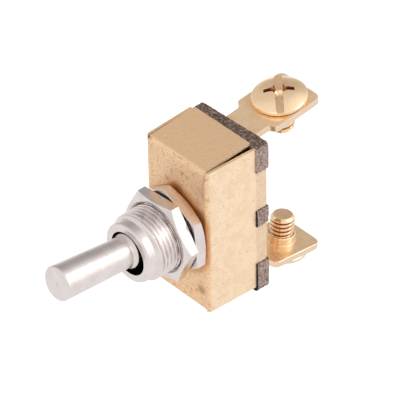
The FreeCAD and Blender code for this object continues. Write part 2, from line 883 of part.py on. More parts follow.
def make_terminal(name, corner, side_sign, rotation):
    """A terminal: a foot riveted to the base, a neck and a blade with a tapped boss."""
    body = new_body(name)
    side = new_sketch(body, "side", "YZ_Plane")
    outline(side, terminal_side(corner))
    pad(body, "strip", side, "2*blade_half", centred=True)
    trim = new_sketch(body, "trim", "XY_Plane")
    outline(trim, terminal_trim())
    outline(trim, mirrored_path(terminal_trim()))
    pocket(body, "plan", trim)
    boss = new_sketch(body, "boss", "XZ_Plane", lift="-screw_place")
    outline(boss, terminal_boss())
    turned(body, "tapped_boss", boss)
    hole = new_sketch(body, "hole", "XY_Plane")
    circle(hole, "0", "screw_place", "screw_radius + screw_play")
    pocket(body, "thread", hole, "4*(terminal_gauge + boss_height)")
    seat = new_sketch(body, "rivet_hole", "XZ_Plane", lean="-terminal_tilt")
    circle(seat, "0", f"rivet_place - {corner}", "rivet_radius")
    pocket(body, "rivet_seat", seat, "4*terminal_gauge")
    place(body, back=BASE_BACK, up=f"{side_sign}*{corner}", rotation=rotation)
    return body


def make_screw(name, across, back, up, rotation):
    """A terminal screw: truss head with a driver slot crossed by a short recess."""
    body = new_body(name)
    half = new_sketch(body, "profile", "XZ_Plane")
    length = "head_play + terminal_gauge + screw_proud"
    crown = "head_crown - head_rim"
    outline(
        half,
        [
            ("0", minus(length)),
            ("screw_radius - screw_point", minus(length)),
            ("screw_radius", f"screw_point - ({length})"),
            ("screw_radius", "0"),
            ("head_radius - head_edge", "0"),
            ("head_radius", "head_edge"),
            ("head_radius", "head_rim"),
            ("0", "head_crown", f"(head_radius^2 + ({crown})^2)/(2*({crown}))", LEFT),
        ],
    )
    turned(body, "turning", half)
    top = "head_crown + slot_width"
    slot = new_sketch(body, "slot", "YZ_Plane")
    rectangle(slot, "-slot_width/2", "slot_width/2", "slot_floor", top)
    pocket(body, "driver_slot", slot)
    cross = new_sketch(body, "recess", "XZ_Plane")
    rectangle(cross, "-recess_width/2", "recess_width/2", "recess_floor", top)
    pocket(body, "cross_recess", cross, "recess_span")
    socket = new_sketch(body, "socket", "XY_Plane", lift="socket_floor + head_crown")
    circle(socket, "0", "0", "socket_radius")
    pocket(body, "socket", socket, "2*head_crown")
    place(body, across=across, back=back, up=up, rotation=rotation)
    return body


def build():
    """Make every sub-part and return them."""
    button_seat = "case_depth"
    bracket_seat = "case_depth - bracket_gauge"
    top_turn = FreeCAD.Rotation(X_AXIS, value("terminal_tilt"))
    bottom_turn = FreeCAD.Rotation(Y_AXIS, 180) * top_turn
    screw_back = f"{BASE_BACK} + screw_place*cos(terminal_tilt) - head_play*sin(terminal_tilt)"
    screw_up = "screw_place*sin(terminal_tilt) + head_play*cos(terminal_tilt)"
    return [
        make_case(),
        make_liner(),
        make_base(),
        make_bushing(),
        make_nut("nut_front", "front_nut_place", "front_nut_turn", True),
        make_nut("nut_rear", "rear_nut_place", "rear_nut_turn", False),
        make_lever(),
        make_pin(),
        make_plunger(),
        make_spring(),
        make_rocker(),
        make_moving_contact(),
        make_bracket(),
        make_rivet(
            "bracket_rivet",
            "rivet_place",
            "clinch_radius",
            f"{bracket_seat} - clinch_gauge",
            bracket_seat,
        ),
        make_rivet(
            "contact_rivet",
            "-rivet_place",
            "button_radius",
            f"{button_seat} - button_gauge",
            button_seat,
        ),
        make_terminal("terminal_top", "top_corner", 1, top_turn),
        make_terminal("terminal_bottom", "bottom_corner", -1, bottom_turn),
        make_screw(
            "terminal_screw_top",
            "0",
            screw_back,
            f"top_corner + {screw_up}",
            top_turn * FreeCAD.Rotation(Z_AXIS, value("top_slot_turn")),
        ),
        make_screw(
            "terminal_screw_bottom",
            "0",
            screw_back,
            f"-bottom_corner - ({screw_up})",
            bottom_turn * FreeCAD.Rotation(Z_AXIS, value("bottom_slot_turn")),
        ),
    ]


def check_and_write(parts):
    """Stop at a failed feature or a bad solid, and write each sub-part to its own file."""
    doc.recompute()
    for item in doc.Objects:
        if "Invalid" in item.State or "Error" in item.State:
            raise RuntimeError(f"{item.Label} failed: {item.State}")
    os.makedirs("parts", exist_ok=True)
    for part in parts:
        shape = part.Shape
        if shape.isNull() or not shape.isValid() or len(shape.Solids) != 1:
            raise RuntimeError(f"{part.Label} is not one valid solid")
        shape.exportStep(f"parts/{part.Label}.step")
        box = shape.BoundBox
        print(
            f"{part.Label}: {shape.Volume:.2f} mm3,"
            f" x {box.XMin:.2f}..{box.XMax:.2f}, y {box.YMin:.2f}..{box.YMax:.2f},"
            f" z {box.ZMin:.2f}..{box.ZMax:.2f}"
        )


check_and_write(build())
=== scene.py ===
# %% [markdown]
# A panel toggle switch in a white studio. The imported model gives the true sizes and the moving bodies.
# Each visible piece is dressed as it is, or replaced by a finer surface with the threads, rounded edges and
# tool marks that the solids leave out. Lengths are in millimetres until a mesh is made.

# %% Load the frame
import math

import bmesh
import bpy
import numpy as np
from mathutils import Matrix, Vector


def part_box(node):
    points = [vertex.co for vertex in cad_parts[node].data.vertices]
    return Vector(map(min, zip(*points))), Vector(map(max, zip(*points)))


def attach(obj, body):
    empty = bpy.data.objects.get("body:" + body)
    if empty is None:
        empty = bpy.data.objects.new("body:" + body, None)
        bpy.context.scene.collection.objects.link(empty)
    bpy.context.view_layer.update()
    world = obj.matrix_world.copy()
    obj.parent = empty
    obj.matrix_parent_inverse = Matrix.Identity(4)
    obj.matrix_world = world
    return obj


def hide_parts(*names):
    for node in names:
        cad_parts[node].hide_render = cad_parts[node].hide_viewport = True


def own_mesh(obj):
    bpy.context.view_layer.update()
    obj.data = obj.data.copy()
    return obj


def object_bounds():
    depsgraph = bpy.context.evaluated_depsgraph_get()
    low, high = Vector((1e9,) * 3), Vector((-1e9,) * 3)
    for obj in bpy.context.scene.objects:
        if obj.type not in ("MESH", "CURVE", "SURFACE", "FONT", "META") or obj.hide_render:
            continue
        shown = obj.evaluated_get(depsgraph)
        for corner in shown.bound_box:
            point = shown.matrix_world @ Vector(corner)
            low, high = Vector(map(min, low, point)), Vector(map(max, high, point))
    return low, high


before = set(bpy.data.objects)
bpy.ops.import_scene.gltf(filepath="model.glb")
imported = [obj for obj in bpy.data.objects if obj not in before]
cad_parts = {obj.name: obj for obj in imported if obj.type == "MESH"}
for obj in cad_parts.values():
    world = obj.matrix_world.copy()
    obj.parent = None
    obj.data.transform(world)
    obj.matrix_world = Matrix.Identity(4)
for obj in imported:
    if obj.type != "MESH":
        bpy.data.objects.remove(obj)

MM = 0.001
scene = bpy.context.scene
cad_box = [list(corner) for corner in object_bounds()]
print("box of the solids, metres:", np.round(cad_box, 5).tolist())


def box_mm(name):
    """The lowest and the highest corner of a solid, in millimetres."""
    return [np.array(corner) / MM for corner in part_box(name)]


def unit(vectors):
    """The same directions with length 1. No direction stays 0."""
    return vectors / np.maximum(np.linalg.norm(vectors, axis=-1, keepdims=True), 1e-9)


def stand(item, right, up, back, place):
    """Put a camera or lamp in the scene, at a place in metres and with its back towards back."""
    scene.collection.objects.link(item)
    item.matrix_world = Matrix(np.vstack([np.column_stack([right, up, back, place]), (0, 0, 0, 1)]))


# %% [markdown]
# The camera stands where the photographer stood: to the right of the lever and above it. A long lens keeps
# the case's edges nearly parallel. The picture's middle lies off the switch, so the lens is shifted.

# %% Camera
IMAGE_SIDE = 400
SENSOR = 36.0
PIXELS_PER_MM = 6.138
CAMERA_DISTANCE = 604.35
CAMERA_TURN = math.radians(48.896)
CAMERA_RISE = math.radians(39.258)
CAMERA_ROLL = math.radians(-1.396)
AIM = np.array([0.0, 0.6, 0.0])
AIM_PIXEL = (180.26, 222.85)

toward_camera = np.array([
    math.sin(CAMERA_TURN) * math.cos(CAMERA_RISE),
    -math.cos(CAMERA_TURN) * math.cos(CAMERA_RISE),
    math.sin(CAMERA_RISE),
])
level_right = np.array([math.cos(CAMERA_TURN), math.sin(CAMERA_TURN), 0.0])
level_up = np.cross(toward_camera, level_right)
camera_right = math.cos(CAMERA_ROLL) * level_right + math.sin(CAMERA_ROLL) * level_up
camera_up = np.cross(toward_camera, camera_right)

optics = bpy.data.cameras.new("camera")
optics.sensor_width = SENSOR
optics.lens = PIXELS_PER_MM * CAMERA_DISTANCE / IMAGE_SIDE * SENSOR
optics.shift_x = (IMAGE_SIDE / 2 - AIM_PIXEL[0]) / IMAGE_SIDE
optics.shift_y = (AIM_PIXEL[1] - IMAGE_SIDE / 2) / IMAGE_SIDE
optics.clip_start = 0.01
camera = bpy.data.objects.new("camera", optics)
stand(camera, camera_right, camera_up, toward_camera, (AIM + toward_camera * CAMERA_DISTANCE) * MM)
scene.camera = camera
print("lens in millimetres:", round(optics.lens, 1))

# %% [markdown]
# The world and the materials are nodes that pass numbers, places and colours on to each other. A few
# helpers add them, so that a pattern reads like the sum it is.

# %% Node helpers
def put(socket, item):
    """Link an input to another node's output, or give it a plain value."""
    if isinstance(item, bpy.types.NodeSocket):
        socket.id_data.links.new(item, socket)
    else:
        socket.default_value = item


def node(tree, kind, *inputs, **settings):
    """Add a node of this kind. A setting is a property, or an input by name. Inputs go in by their order."""
    made = tree.nodes.new("ShaderNode" + kind)
    for key, setting in settings.items():
        name = key.replace("_", " ").title()
        if name in made.inputs:
            put(made.inputs[name], setting)
        else:
            setattr(made, key, setting)
    for socket, item in zip(made.inputs, inputs):
        put(socket, item)
    return made


def emptied(item):
    """The node tree of a material or world, with no node left in it."""
    item.use_nodes = True
    item.node_tree.nodes.clear()
    return item.node_tree


def math_node(operation, first, second=0.0):
    """One sum of two inputs, of which one at least is a socket."""
    tree = first.id_data if isinstance(first, bpy.types.NodeSocket) else second.id_data
    return node(tree, "Math", first, second, operation=operation).outputs["Value"]


def plus(first, second):
    """First and second added."""
    return math_node("ADD", first, second)


def minus(first, second):
    """First less second."""
    return math_node("SUBTRACT", first, second)


def times(first, second):
    """First and second multiplied."""
    return math_node("MULTIPLY", first, second)


def ramp(value, low, high, to_low=0.0, to_high=1.0):
    """The value's share of the way from low to high, eased at both ends, spread over a new range."""
    ends = (low, high, to_low, to_high)
    made = node(value.id_data, "MapRange", value, *ends, interpolation_type="SMOOTHSTEP")
    return made.outputs["Result"]


def blend(share, first, second):
    """A colour that goes from first to second as share goes from 0 to 1."""
    made = node(share.id_data, "Mix", data_type="RGBA", factor=share, a=first, b=second)
    return made.outputs["Result"]


# %% [markdown]
# Bare metal shows what stands round it more than its own colour, so the studio is the first finish: a white
# surround, a grey ceiling to the back left, which darkens the top of the case and of the lever, and a bright
# window to the back right. Two area lamps add the light that casts a shadow.

# %% Studio world
CEILING_TOWARD = (-0.612, 0.612, 0.500)
CEILING_HEART, CEILING_EDGE = math.radians(4), math.radians(74)
CEILING_LEVEL = (0.44, 0.415, 0.41, 1.0)
WINDOW_TOWARD = (0.694, 0.583, 0.423)
WINDOW_HEART, WINDOW_EDGE = math.radians(20), math.radians(56)
WINDOW_LEVEL = (1.36, 1.34, 1.32, 1.0)
SURROUND_LEVEL = (0.93, 0.92, 0.915, 1.0)
WHITE = (1.0, 1.0, 1.0, 1.0)


def patch(direction, toward, heart, edge):
    """The share, from 1 at heart to 0 at edge, by which a direction's angle from toward is in a patch."""
    tree = direction.id_data
    facing = node(tree, "VectorMath", direction, toward, operation="DOT_PRODUCT")
    angle = math_node("ARCCOSINE", facing.outputs["Value"])
    return node(tree, "MapRange", angle, edge, heart).outputs["Result"]


world = bpy.data.worlds.new("studio")
scene.world = world
tree = emptied(world)
seen_from = node(tree, "TexCoord").outputs["Generated"]
direction = node(tree, "VectorMath", seen_from, operation="NORMALIZE").outputs["Vector"]
ceiling = patch(direction, CEILING_TOWARD, CEILING_HEART, CEILING_EDGE)
window = patch(direction, WINDOW_TOWARD, WINDOW_HEART, WINDOW_EDGE)
room = blend(window, blend(ceiling, SURROUND_LEVEL, CEILING_LEVEL), WINDOW_LEVEL)
surround = node(tree, "Background", room).outputs["Background"]
backdrop = node(tree, "Background", WHITE).outputs["Background"]
camera_ray = node(tree, "LightPath").outputs["Is Camera Ray"]
choice = node(tree, "MixShader", camera_ray, surround, backdrop).outputs["Shader"]
node(tree, "OutputWorld", choice)
print("nodes in the world:", len(tree.nodes))

# %% Lamps
LAMP_DISTANCE = 0.45


def lamp(name, toward, side, radiance):
    """A square soft lamp that faces the switch. Its power is pi times its area times its brightness."""
    data = bpy.data.lights.new(name, "AREA")
    data.shape = "SQUARE"
    data.size = side
    data.energy = math.pi * side * side * radiance
    back = unit(np.array(toward))
    right = unit(np.cross((0.0, 0.0, 1.0), back))
    stand(bpy.data.objects.new(name, data), right, np.cross(back, right), back, back * LAMP_DISTANCE)
    print(name, "lamp, watts:", round(data.energy, 3))


lamp("window", (0.60, 0.52, 0.55), 0.24, 1.35)
lamp("fill", (0.35, -0.8, 0.75), 0.30, 0.35)

# %% [markdown]
# The floor is a white table. The camera and shiny metal see it glow just short of white, and the light on it
# adds the rest, so the switch leaves only a faint shadow. It lies far enough down for the lower screw, which
# backs out by 4 mm, to stay above it.

# %% Floor
FLOOR_GAP = 4.3
FLOOR_HALF = 0.6
GLOW_SEEN = 0.9
GLOW_MIRRORED = 0.66
FLOOR_COLOUR = (0.35, 0.35, 0.35, 1.0)

floor_level = cad_box[0][2] - FLOOR_GAP * MM
floor_mesh = bpy.data.meshes.new("floor")
corners = [(x * FLOOR_HALF, y * FLOOR_HALF, floor_level) for x, y in ((-1, -1), (1, -1), (1, 1), (-1, 1))]
floor_mesh.from_pydata(corners, [], [(0, 1, 2, 3)])
floor = bpy.data.objects.new("floor", floor_mesh)
scene.collection.objects.link(floor)
paper = bpy.data.materials.new("white_table")
tree = emptied(paper)
rays = node(tree, "LightPath").outputs
strength = plus(times(rays["Is Camera Ray"], GLOW_SEEN), times(rays["Is Glossy Ray"], GLOW_MIRRORED))
glow = node(tree, "Emission", WHITE, strength).outputs["Emission"]
matt = node(tree, "BsdfDiffuse", FLOOR_COLOUR).outputs["BSDF"]
both = node(tree, "AddShader", glow, matt).outputs["Shader"]
node(tree, "OutputMaterial", both)
floor_mesh.materials.append(paper)
print("floor level, millimetres:", round(floor_level / MM, 2))

# %% [markdown]
# Every material is one recipe with other numbers: a colour that drifts from patch to patch, a roughness
# that varies, and shallow bumps that break the reflections up. All of it is worked out from the point's
# place on its own piece, so nothing slides when the switch moves.

# %% Material helpers
def new_material(name, tilt=0.0, pivot=0.0):
    """An empty node material, its tree, and the point's place on the piece in millimetres.

    The place is worked out as if the piece were not leaned by tilt from a pivot on its axis.
    """
    material = bpy.data.materials.new(name)
    tree = emptied(material)
    place = node(tree, "TexCoord").outputs["Object"]
    moved = node(tree, "VectorMath", place, (0.0, -pivot * MM, 0.0), operation="SUBTRACT")
    turned = node(tree, "Mapping", moved.outputs["Vector"], rotation=(tilt, 0, 0), scale=(1 / MM,) * 3)
    return material, tree, turned.outputs["Vector"]


def finish_material(material, colour, roughness, metallic, *dents):
    """Give a material its one shader. Each dent is a height and its depth in millimetres."""
    tree = material.node_tree
    shader = node(tree, "BsdfPrincipled", base_color=colour, roughness=roughness, metallic=metallic)
    normal = None
    for height, depth in dents:
        dented = node(tree, "Bump", distance=depth * MM, height=height)
        if normal is not None:
            put(dented.inputs["Normal"], normal)
        normal = dented.outputs["Normal"]
    put(shader.inputs["Normal"], normal)
    node(tree, "OutputMaterial", shader.outputs["BSDF"])
    return material


def stretched(place, scale):
    """The same place, stretched by three factors, so that a pattern on it becomes streaks."""
    return node(place.id_data, "VectorMath", place, scale, operation="MULTIPLY").outputs["Vector"]


def noise(place, scale, detail=3.0, distortion=0.0):
    """Soft noise from 0 to 1, with scale as the number of blobs in a millimetre."""
    made = node(place.id_data, "TexNoise", place, scale=scale, detail=detail, distortion=distortion)
    return made.outputs["Fac"]


def rgb(red, green, blue):
    """A colour given as it shows on screen, from 0 to 255, as the linear light that shaders use."""
    share = np.array([red, green, blue]) / 255.0
    linear = np.where(share <= 0.04045, share / 12.92, ((share + 0.055) / 1.055) ** 2.4)
    return (*linear.tolist(), 1.0)


def axis_parts(place):
    """The three parts of a place as separate values."""
    return list(node(place.id_data, "SeparateXYZ", place).outputs)


def from_y_axis(across, up):
    """The distance from the Y axis: the root of across^2 + up^2."""
    return math_node("SQRT", plus(math_node("POWER", across, 2.0), math_node("POWER", up, 2.0)))


def faced(tree):
    """The way the surface faces, in the piece's own space, as three separate values."""
    return axis_parts(node(tree, "TexCoord").outputs["Normal"])


# %% [markdown]
# Nickel plate over turned brass shows the lathe's fine rings. They are noise that is read at the distance
# from the axis and the distance along it, and never at the angle, so they can't help being round.

# %% Turned nickel
NICKEL = rgb(227, 219, 217)
NICKEL_DULL = rgb(219, 209, 206)
NICKEL_GLOSS = (0.16, 0.34)
BORE_SHADE = rgb(44, 38, 36)
SHADE_IN_BORE = (0.1, 0.02)
SHADE_BEHIND_MOUTH = (0.05, 0.2)
PIVOT_DEPTH = 4.27
LEVER_TILT = math.radians(5.9)


def turned_nickel(name, tilt=0.0, pivot=0.0, rings=5.0, ring_depth=0.004, bore=None):
    """Plated metal with lathe rings round an axis that lies along Y, or leans by tilt from a pivot.

    A bore, given as its radius and the place of its mouth, is dark inside with painted shade.
    """
    material, tree, place = new_material(name, tilt, pivot)
    across, along, up = axis_parts(place)
    radius = from_y_axis(across, up)
    hoops = noise(node(tree, "CombineXYZ", radius, along).outputs["Vector"], rings, detail=4.0)
    cloud = noise(place, 0.45, detail=4.0)
    grain = noise(place, 9.0)
    colour = blend(ramp(cloud, 0.35, 0.7), NICKEL, NICKEL_DULL)
    if bore is not None:
        # Painted shade: the bore goes dark inside, behind its mouth.
        in_bore = ramp(radius, bore[0] + SHADE_IN_BORE[0], bore[0] + SHADE_IN_BORE[1])
        behind_mouth = ramp(along, bore[1] + SHADE_BEHIND_MOUTH[0], bore[1] + SHADE_BEHIND_MOUTH[1])
        colour = blend(times(in_bore, behind_mouth), colour, BORE_SHADE)
    rough = ramp(plus(times(hoops, 0.6), times(grain, 0.4)), 0.3, 0.7, *NICKEL_GLOSS)
    return finish_material(material, colour, rough, 1.0, (grain, 0.0015), (hoops, ring_depth))


# %% [markdown]
# The case was blanked, folded and tumbled, and has since dulled: its front and sides are pale with pinkish
# and brown patches and pits, while its top flap kept the smooth mill finish. The terminals and screws are
# bright, and share a second recipe. A pair of numbers for a mark is where it starts and where it is full.

# %% Brass
BRASS_PALE = rgb(253, 229, 198)
BRASS_TAN = rgb(248, 219, 184)
BRASS_FRONT = rgb(251, 215, 170)
BRASS_PINK = rgb(238, 194, 160)
BRASS_SMOKY = rgb(196, 146, 106)
BRASS_NUT_REFLECTION = rgb(214, 136, 62)
BRASS_TOP = rgb(247, 208, 165)
BRASS_BROWN = rgb(150, 98, 56)
BRASS_SPECK = rgb(92, 62, 44)
BRASS_BRIGHT = rgb(254, 224, 186)
BRASS_GOLD = rgb(251, 211, 164)
BRASS_SHEARED = rgb(230, 210, 190)
BRASS_DIRT = rgb(156, 82, 44)
FRONT_MM = (0.9, 0.1)
CRIMP_MM = (10.0, 10.5)
NUT_REFLECTION_MM = (9.9, 8.1)
REFLECTION_SIDE_MM = (-3.5, 0.0)
SMUDGE_PLACE_MM = (5.6, 0.0, -10.4)
SMUDGE_MM = (2.6, 1.0)
PIT_CROWD_MM = (6.0, 13.5)
FLAP_FACING = (0.85, 0.99)
EDGE_FACING = (0.8, 0.97)
CASE_METALLIC = 0.72


def case_brass():
    """Dulled sheet brass: pale patches, pits that crowd the front's upper bend, and a clean top flap.

    Painted reflection and shade ring the nut in orange on the side that the light comes from, and a smudge
    lies low on the front.
    """
    material, tree, place = new_material("case_brass_dulled")
    across, along, up = axis_parts(place)
    patches = noise(place, 0.55, detail=5.0, distortion=0.4)
    grains = noise(place, 2.6, detail=5.0)
    stains = noise(place, 1.1, detail=7.0, distortion=0.8)
    pits = noise(place, 2.5, detail=2.0)
    front = ramp(along, *FRONT_MM)
    flap = ramp(faced(tree)[2], *FLAP_FACING)
    colour = blend(ramp(patches, 0.38, 0.66), BRASS_PALE, BRASS_TAN)
    colour = blend(ramp(grains, 0.5, 0.72, 0.0, 0.5), colour, BRASS_PINK)
    front_colour = blend(ramp(grains, 0.42, 0.66), BRASS_FRONT, BRASS_PINK)
    front_colour = blend(ramp(stains, 0.54, 0.7, 0.0, 0.75), front_colour, BRASS_SMOKY)
    colour = blend(front, colour, front_colour)
    colour = blend(ramp(along, *CRIMP_MM, 0.0, 0.17), colour, BRASS_BROWN)
    # Painted reflection and shade: orange round the nut on the front face, only on the side the light comes
    # from.
    from_nut = plus(from_y_axis(across, up), times(patches, 0.8))
    nut_reflection = times(times(ramp(from_nut, *NUT_REFLECTION_MM, 0.0, 0.8), front), ramp(across, *REFLECTION_SIDE_MM))
    colour = blend(nut_reflection, colour, BRASS_NUT_REFLECTION)
    from_smudge = node(tree, "VectorMath", place, SMUDGE_PLACE_MM, operation="DISTANCE")
    smudge = plus(from_smudge.outputs["Value"], times(grains, 2.0))
    colour = blend(ramp(smudge, *SMUDGE_MM, 0.0, 0.6), colour, BRASS_BROWN)
    colour = blend(flap, colour, BRASS_TOP)
    crowd = times(ramp(up, *PIT_CROWD_MM), front)
    over = minus(pits, minus(0.71, times(crowd, 0.055)))
    speck = times(ramp(over, 0.0, 0.035), minus(1.0, flap))
    colour = blend(times(speck, 0.85), colour, BRASS_SPECK)
    rough = plus(ramp(grains, 0.3, 0.7, 0.34, 0.5), times(flap, -0.08))
    peel = times(grains, minus(1.0, times(flap, 0.85)))
    return finish_material(material, colour, rough, CASE_METALLIC, (peel, 0.02), (minus(1.0, speck), 0.02))


def bright_brass(name, gloss=(0.12, 0.26), streaks=(1.0, 1.0, 1.0), metallic=1.0, dirt=None):
    """Bright plated or rolled brass with a faint drift of colour and short streaks.

    Faces that look along X are the strip's sheared edges, which are paler. Dirt names an attribute of
    the piece that is 1 where brown has settled.
    """
    material, tree, place = new_material(name)
    lines = noise(stretched(place, streaks), 3.0, detail=5.0)
    colour = blend(ramp(noise(place, 0.5, detail=4.0), 0.35, 0.75), BRASS_BRIGHT, BRASS_GOLD)
    sideways = math_node("ABSOLUTE", faced(tree)[0])
    colour = blend(ramp(sideways, *EDGE_FACING, 0.0, 0.8), colour, BRASS_SHEARED)
    colour = blend(ramp(noise(place, 3.4, detail=2.0), 0.72, 0.78, 0.0, 0.7), colour, BRASS_SPECK)
    if dirt is not None:
        settled = node(tree, "Attribute", attribute_name=dirt).outputs["Fac"]
        colour = blend(settled, colour, BRASS_DIRT)
    return finish_material(material, colour, ramp(lines, 0.3, 0.7, *gloss), metallic, (lines, 0.002))


# %% [markdown]
# The base is vulcanised fibre: paper pressed hard, grey-brown, and torn and mottled where the punch sheared
# its edges. It is rough and finely pitted.

# %% Fibre, plastic and spring steel
FIBRE_DARK = rgb(96, 74, 66)
FIBRE_MID = rgb(186, 161, 152)
FIBRE_LIGHT = rgb(236, 216, 208)
FIBRE_SHADED_TOP = rgb(84, 62, 45)
FIBRE_BLACK = rgb(30, 22, 18)
GAP_SHADOW_MM = (10.54, 10.44)
BELOW_TOP_MM = (9.4, 9.0)
FACING_UP = (0.35, 0.8)
GLOSS_DRIFT = 0.06


def fibre(name, dark, middle, light, strip=None):
    """Pressed paper: three browns in torn streaks that run along the sheet, rough and pitted.

    A shaded-top colour is painted shade on what faces up, and then the front's arris is painted black with
    the shadow in the gap behind the case's wall.
    """
    material, tree, place = new_material(name)
    layers = noise(stretched(place, (1.0, 1.6, 1.0)), 1.5, detail=6.0, distortion=0.6)
    crumbs = noise(place, 4.4, detail=6.0)
    colour = blend(ramp(layers, 0.34, 0.52), dark, middle)
    colour = blend(ramp(crumbs, 0.52, 0.72, 0.0, 0.9), colour, light)
    if strip is not None:
        colour = blend(ramp(crumbs, 0.45, 0.32, 0.0, 0.8), colour, dark)
        torn = noise(stretched(place, (0.45, 1.0, 1.0)), 4.0, detail=6.0)
        shaded_top_colour = blend(ramp(torn, 0.5, 0.66, 0.0, 0.7), strip, FIBRE_MID)
        shaded_top_colour = blend(ramp(torn, 0.46, 0.38), shaded_top_colour, FIBRE_BLACK)
        # Painted shade: faces that look up are darkened, because the light falls from the side.
        colour = blend(ramp(faced(tree)[2], *FACING_UP, 0.0, 0.92), colour, shaded_top_colour)
        across, along, up = axis_parts(place)
        # Painted shadow: the front's arris below the top goes black in the gap behind the case's wall.
        gap_shadow = ramp(plus(along, times(layers, 0.3)), *GAP_SHADOW_MM)
        colour = blend(times(gap_shadow, ramp(up, *BELOW_TOP_MM)), colour, FIBRE_BLACK)
    rough = ramp(crumbs, 0.3, 0.7, 0.75, 0.95)
    return finish_material(material, colour, rough, 0.0, (layers, 0.10), (crumbs, 0.06))


def plain_solid(name, colour, second, rough, metallic=0.0):
    """An inner piece: two near colours in soft clouds, with its own gloss."""
    material, tree, place = new_material(name)
    cloud = noise(place, 2.0, detail=4.0)
    shade = blend(ramp(cloud, 0.35, 0.65), colour, second)
    roughness = ramp(cloud, 0.3, 0.7, rough - GLOSS_DRIFT, rough + GLOSS_DRIFT)
    return finish_material(material, shade, roughness, metallic, (cloud, 0.006))


# %% Dress the solids that stay
def dress(name, material):
    """Put a material on every slot of a solid that stays as modelled."""
    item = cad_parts[name]
    for slot in item.material_slots:
        slot.material = material
    print(name, "wears", material.name)


dress("insulating_liner", fibre("liner_black", rgb(12, 11, 11), rgb(20, 18, 18), rgb(34, 31, 30)))
dress("pivot_pin", plain_solid("pin_steel", rgb(190, 190, 192), rgb(165, 165, 168), 0.25, 1.0))
dress("plunger", plain_solid("plunger_nylon", rgb(225, 220, 205), rgb(210, 204, 188), 0.45))
dress("rocker", plain_solid("rocker_copper", rgb(215, 140, 100), rgb(190, 112, 80), 0.3, 1.0))
dress("moving_contact", plain_solid("contact_silver", rgb(235, 233, 228), rgb(205, 203, 198), 0.25, 1.0))
dress("fulcrum_bracket", bright_brass("bracket_brass"))
dress("bracket_rivet", bright_brass("rivet_brass"))
dress("contact_rivet", bright_brass("rivet_brass_lower"))

# %% [markdown]
# New pieces are closed surfaces on a grid. A section is a ring of corner points, and each corner is rounded
# a little, because a tumbled edge is never sharp and its thin highlight makes metal look real. The section
# is carried round an axis or an outline.

# %% Surface helpers
MERGE_DISTANCE = 0.0002 * MM
FLAT_ANGLE = math.radians(0.5)
SHARP_ANGLE = math.radians(38)


def circle(count):
    """Angles all the way round, in even steps."""
    return np.linspace(0.0, 2 * math.pi, count, endpoint=False)


def rounded(corners, cut, steps=4):
    """Round the corners of closed sections, given as an array of (corner, column, part).

    Each corner is cut back along both its edges, by at most 0.45 of the shorter edge. The two cuts are
    joined by a parabola: (1 - t)^2 times the first, 2t(1 - t) times the corner and t^2 times the second.
    """
    before = np.roll(corners, 1, axis=0) - corners
    after = np.roll(corners, -1, axis=0) - corners
    shorter = np.minimum(*(np.linalg.norm(edge, axis=-1, keepdims=True) for edge in (before, after)))
    reach = np.minimum(np.reshape(cut, (-1, 1, 1)), 0.45 * shorter)
    first = (corners + unit(before) * reach)[:, None]
    second = (corners + unit(after) * reach)[:, None]
    share = np.linspace(0.0, 1.0, steps + 1)[None, :, None, None]
    curve = (1 - share) ** 2 * first + 2 * share * (1 - share) * corners[:, None] + share**2 * second
    return curve.reshape(-1, *corners.shape[1:])


def filled(section, spacing):
    """Add rows along a section so that no two are further apart than spacing, going by its first column."""
    steps = np.linalg.norm(np.diff(section[:, 0], axis=0), axis=-1)
    counts = np.maximum(1, np.ceil(steps / spacing)).astype(int)
    start = np.repeat(np.arange(len(steps)), counts)
    share = (np.arange(counts.sum()) - np.repeat(np.cumsum(counts) - counts, counts)) / counts[start]
    share = share[:, None, None]
    return np.concatenate([section[start] * (1 - share) + section[start + 1] * share, section[-1:]])


def finish_piece(name, mesh, body, material, replaced, join_flat=False):
    """Join points that meet, face outwards, shade smooth up to sharp edges, and ride for a solid."""
    shape = bmesh.new()
    shape.from_mesh(mesh)
    bmesh.ops.remove_doubles(shape, verts=shape.verts, dist=MERGE_DISTANCE)
    if join_flat:
        bmesh.ops.dissolve_limit(shape, angle_limit=FLAT_ANGLE, verts=shape.verts, edges=shape.edges)
    else:
        bmesh.ops.dissolve_degenerate(shape, edges=shape.edges, dist=MERGE_DISTANCE)
    bmesh.ops.recalc_face_normals(shape, faces=shape.faces)
    open_edges = sum(1 for edge in shape.edges if len(edge.link_faces) != 2)
    shape.to_mesh(mesh)
    shape.free()
    print(name, "faces:", len(mesh.polygons), "open edges:", open_edges)
    mesh.materials.clear()
    mesh.materials.append(material)
    mesh.shade_smooth()
    mesh.set_sharp_from_angle(angle=SHARP_ANGLE)
    item = bpy.data.objects.new(name, mesh)
    scene.collection.objects.link(item)
    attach(item, body)
    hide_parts(replaced)
    return item


def make_piece(name, shells, body, material, replaced):
    """Make one piece from closed shells, each a grid of points in millimetres whose rows are rings.

    A shell is (points, wrap_rows). A face is a point, the next in its ring, and the two below.
    """
    points, faces, first = [], [], 0
    for grid, wrap_rows in shells:
        index = first + np.arange(grid[..., 0].size).reshape(grid.shape[:2])
        first += index.size
        if wrap_rows:
            index = np.concatenate([index, index[:1]])
        index = np.concatenate([index, index[:, :1]], axis=1)
        square = np.stack([index[:-1, :-1], index[:-1, 1:], index[1:, 1:], index[1:, :-1]], axis=-1)
        points.append(grid.reshape(-1, 3) * MM)
        faces.append(square.reshape(-1, 4))
    mesh = bpy.data.meshes.new(name)
    mesh.from_pydata(np.concatenate(points).tolist(), [], np.concatenate(faces).tolist())
    return finish_piece(name, mesh, body, material, replaced)


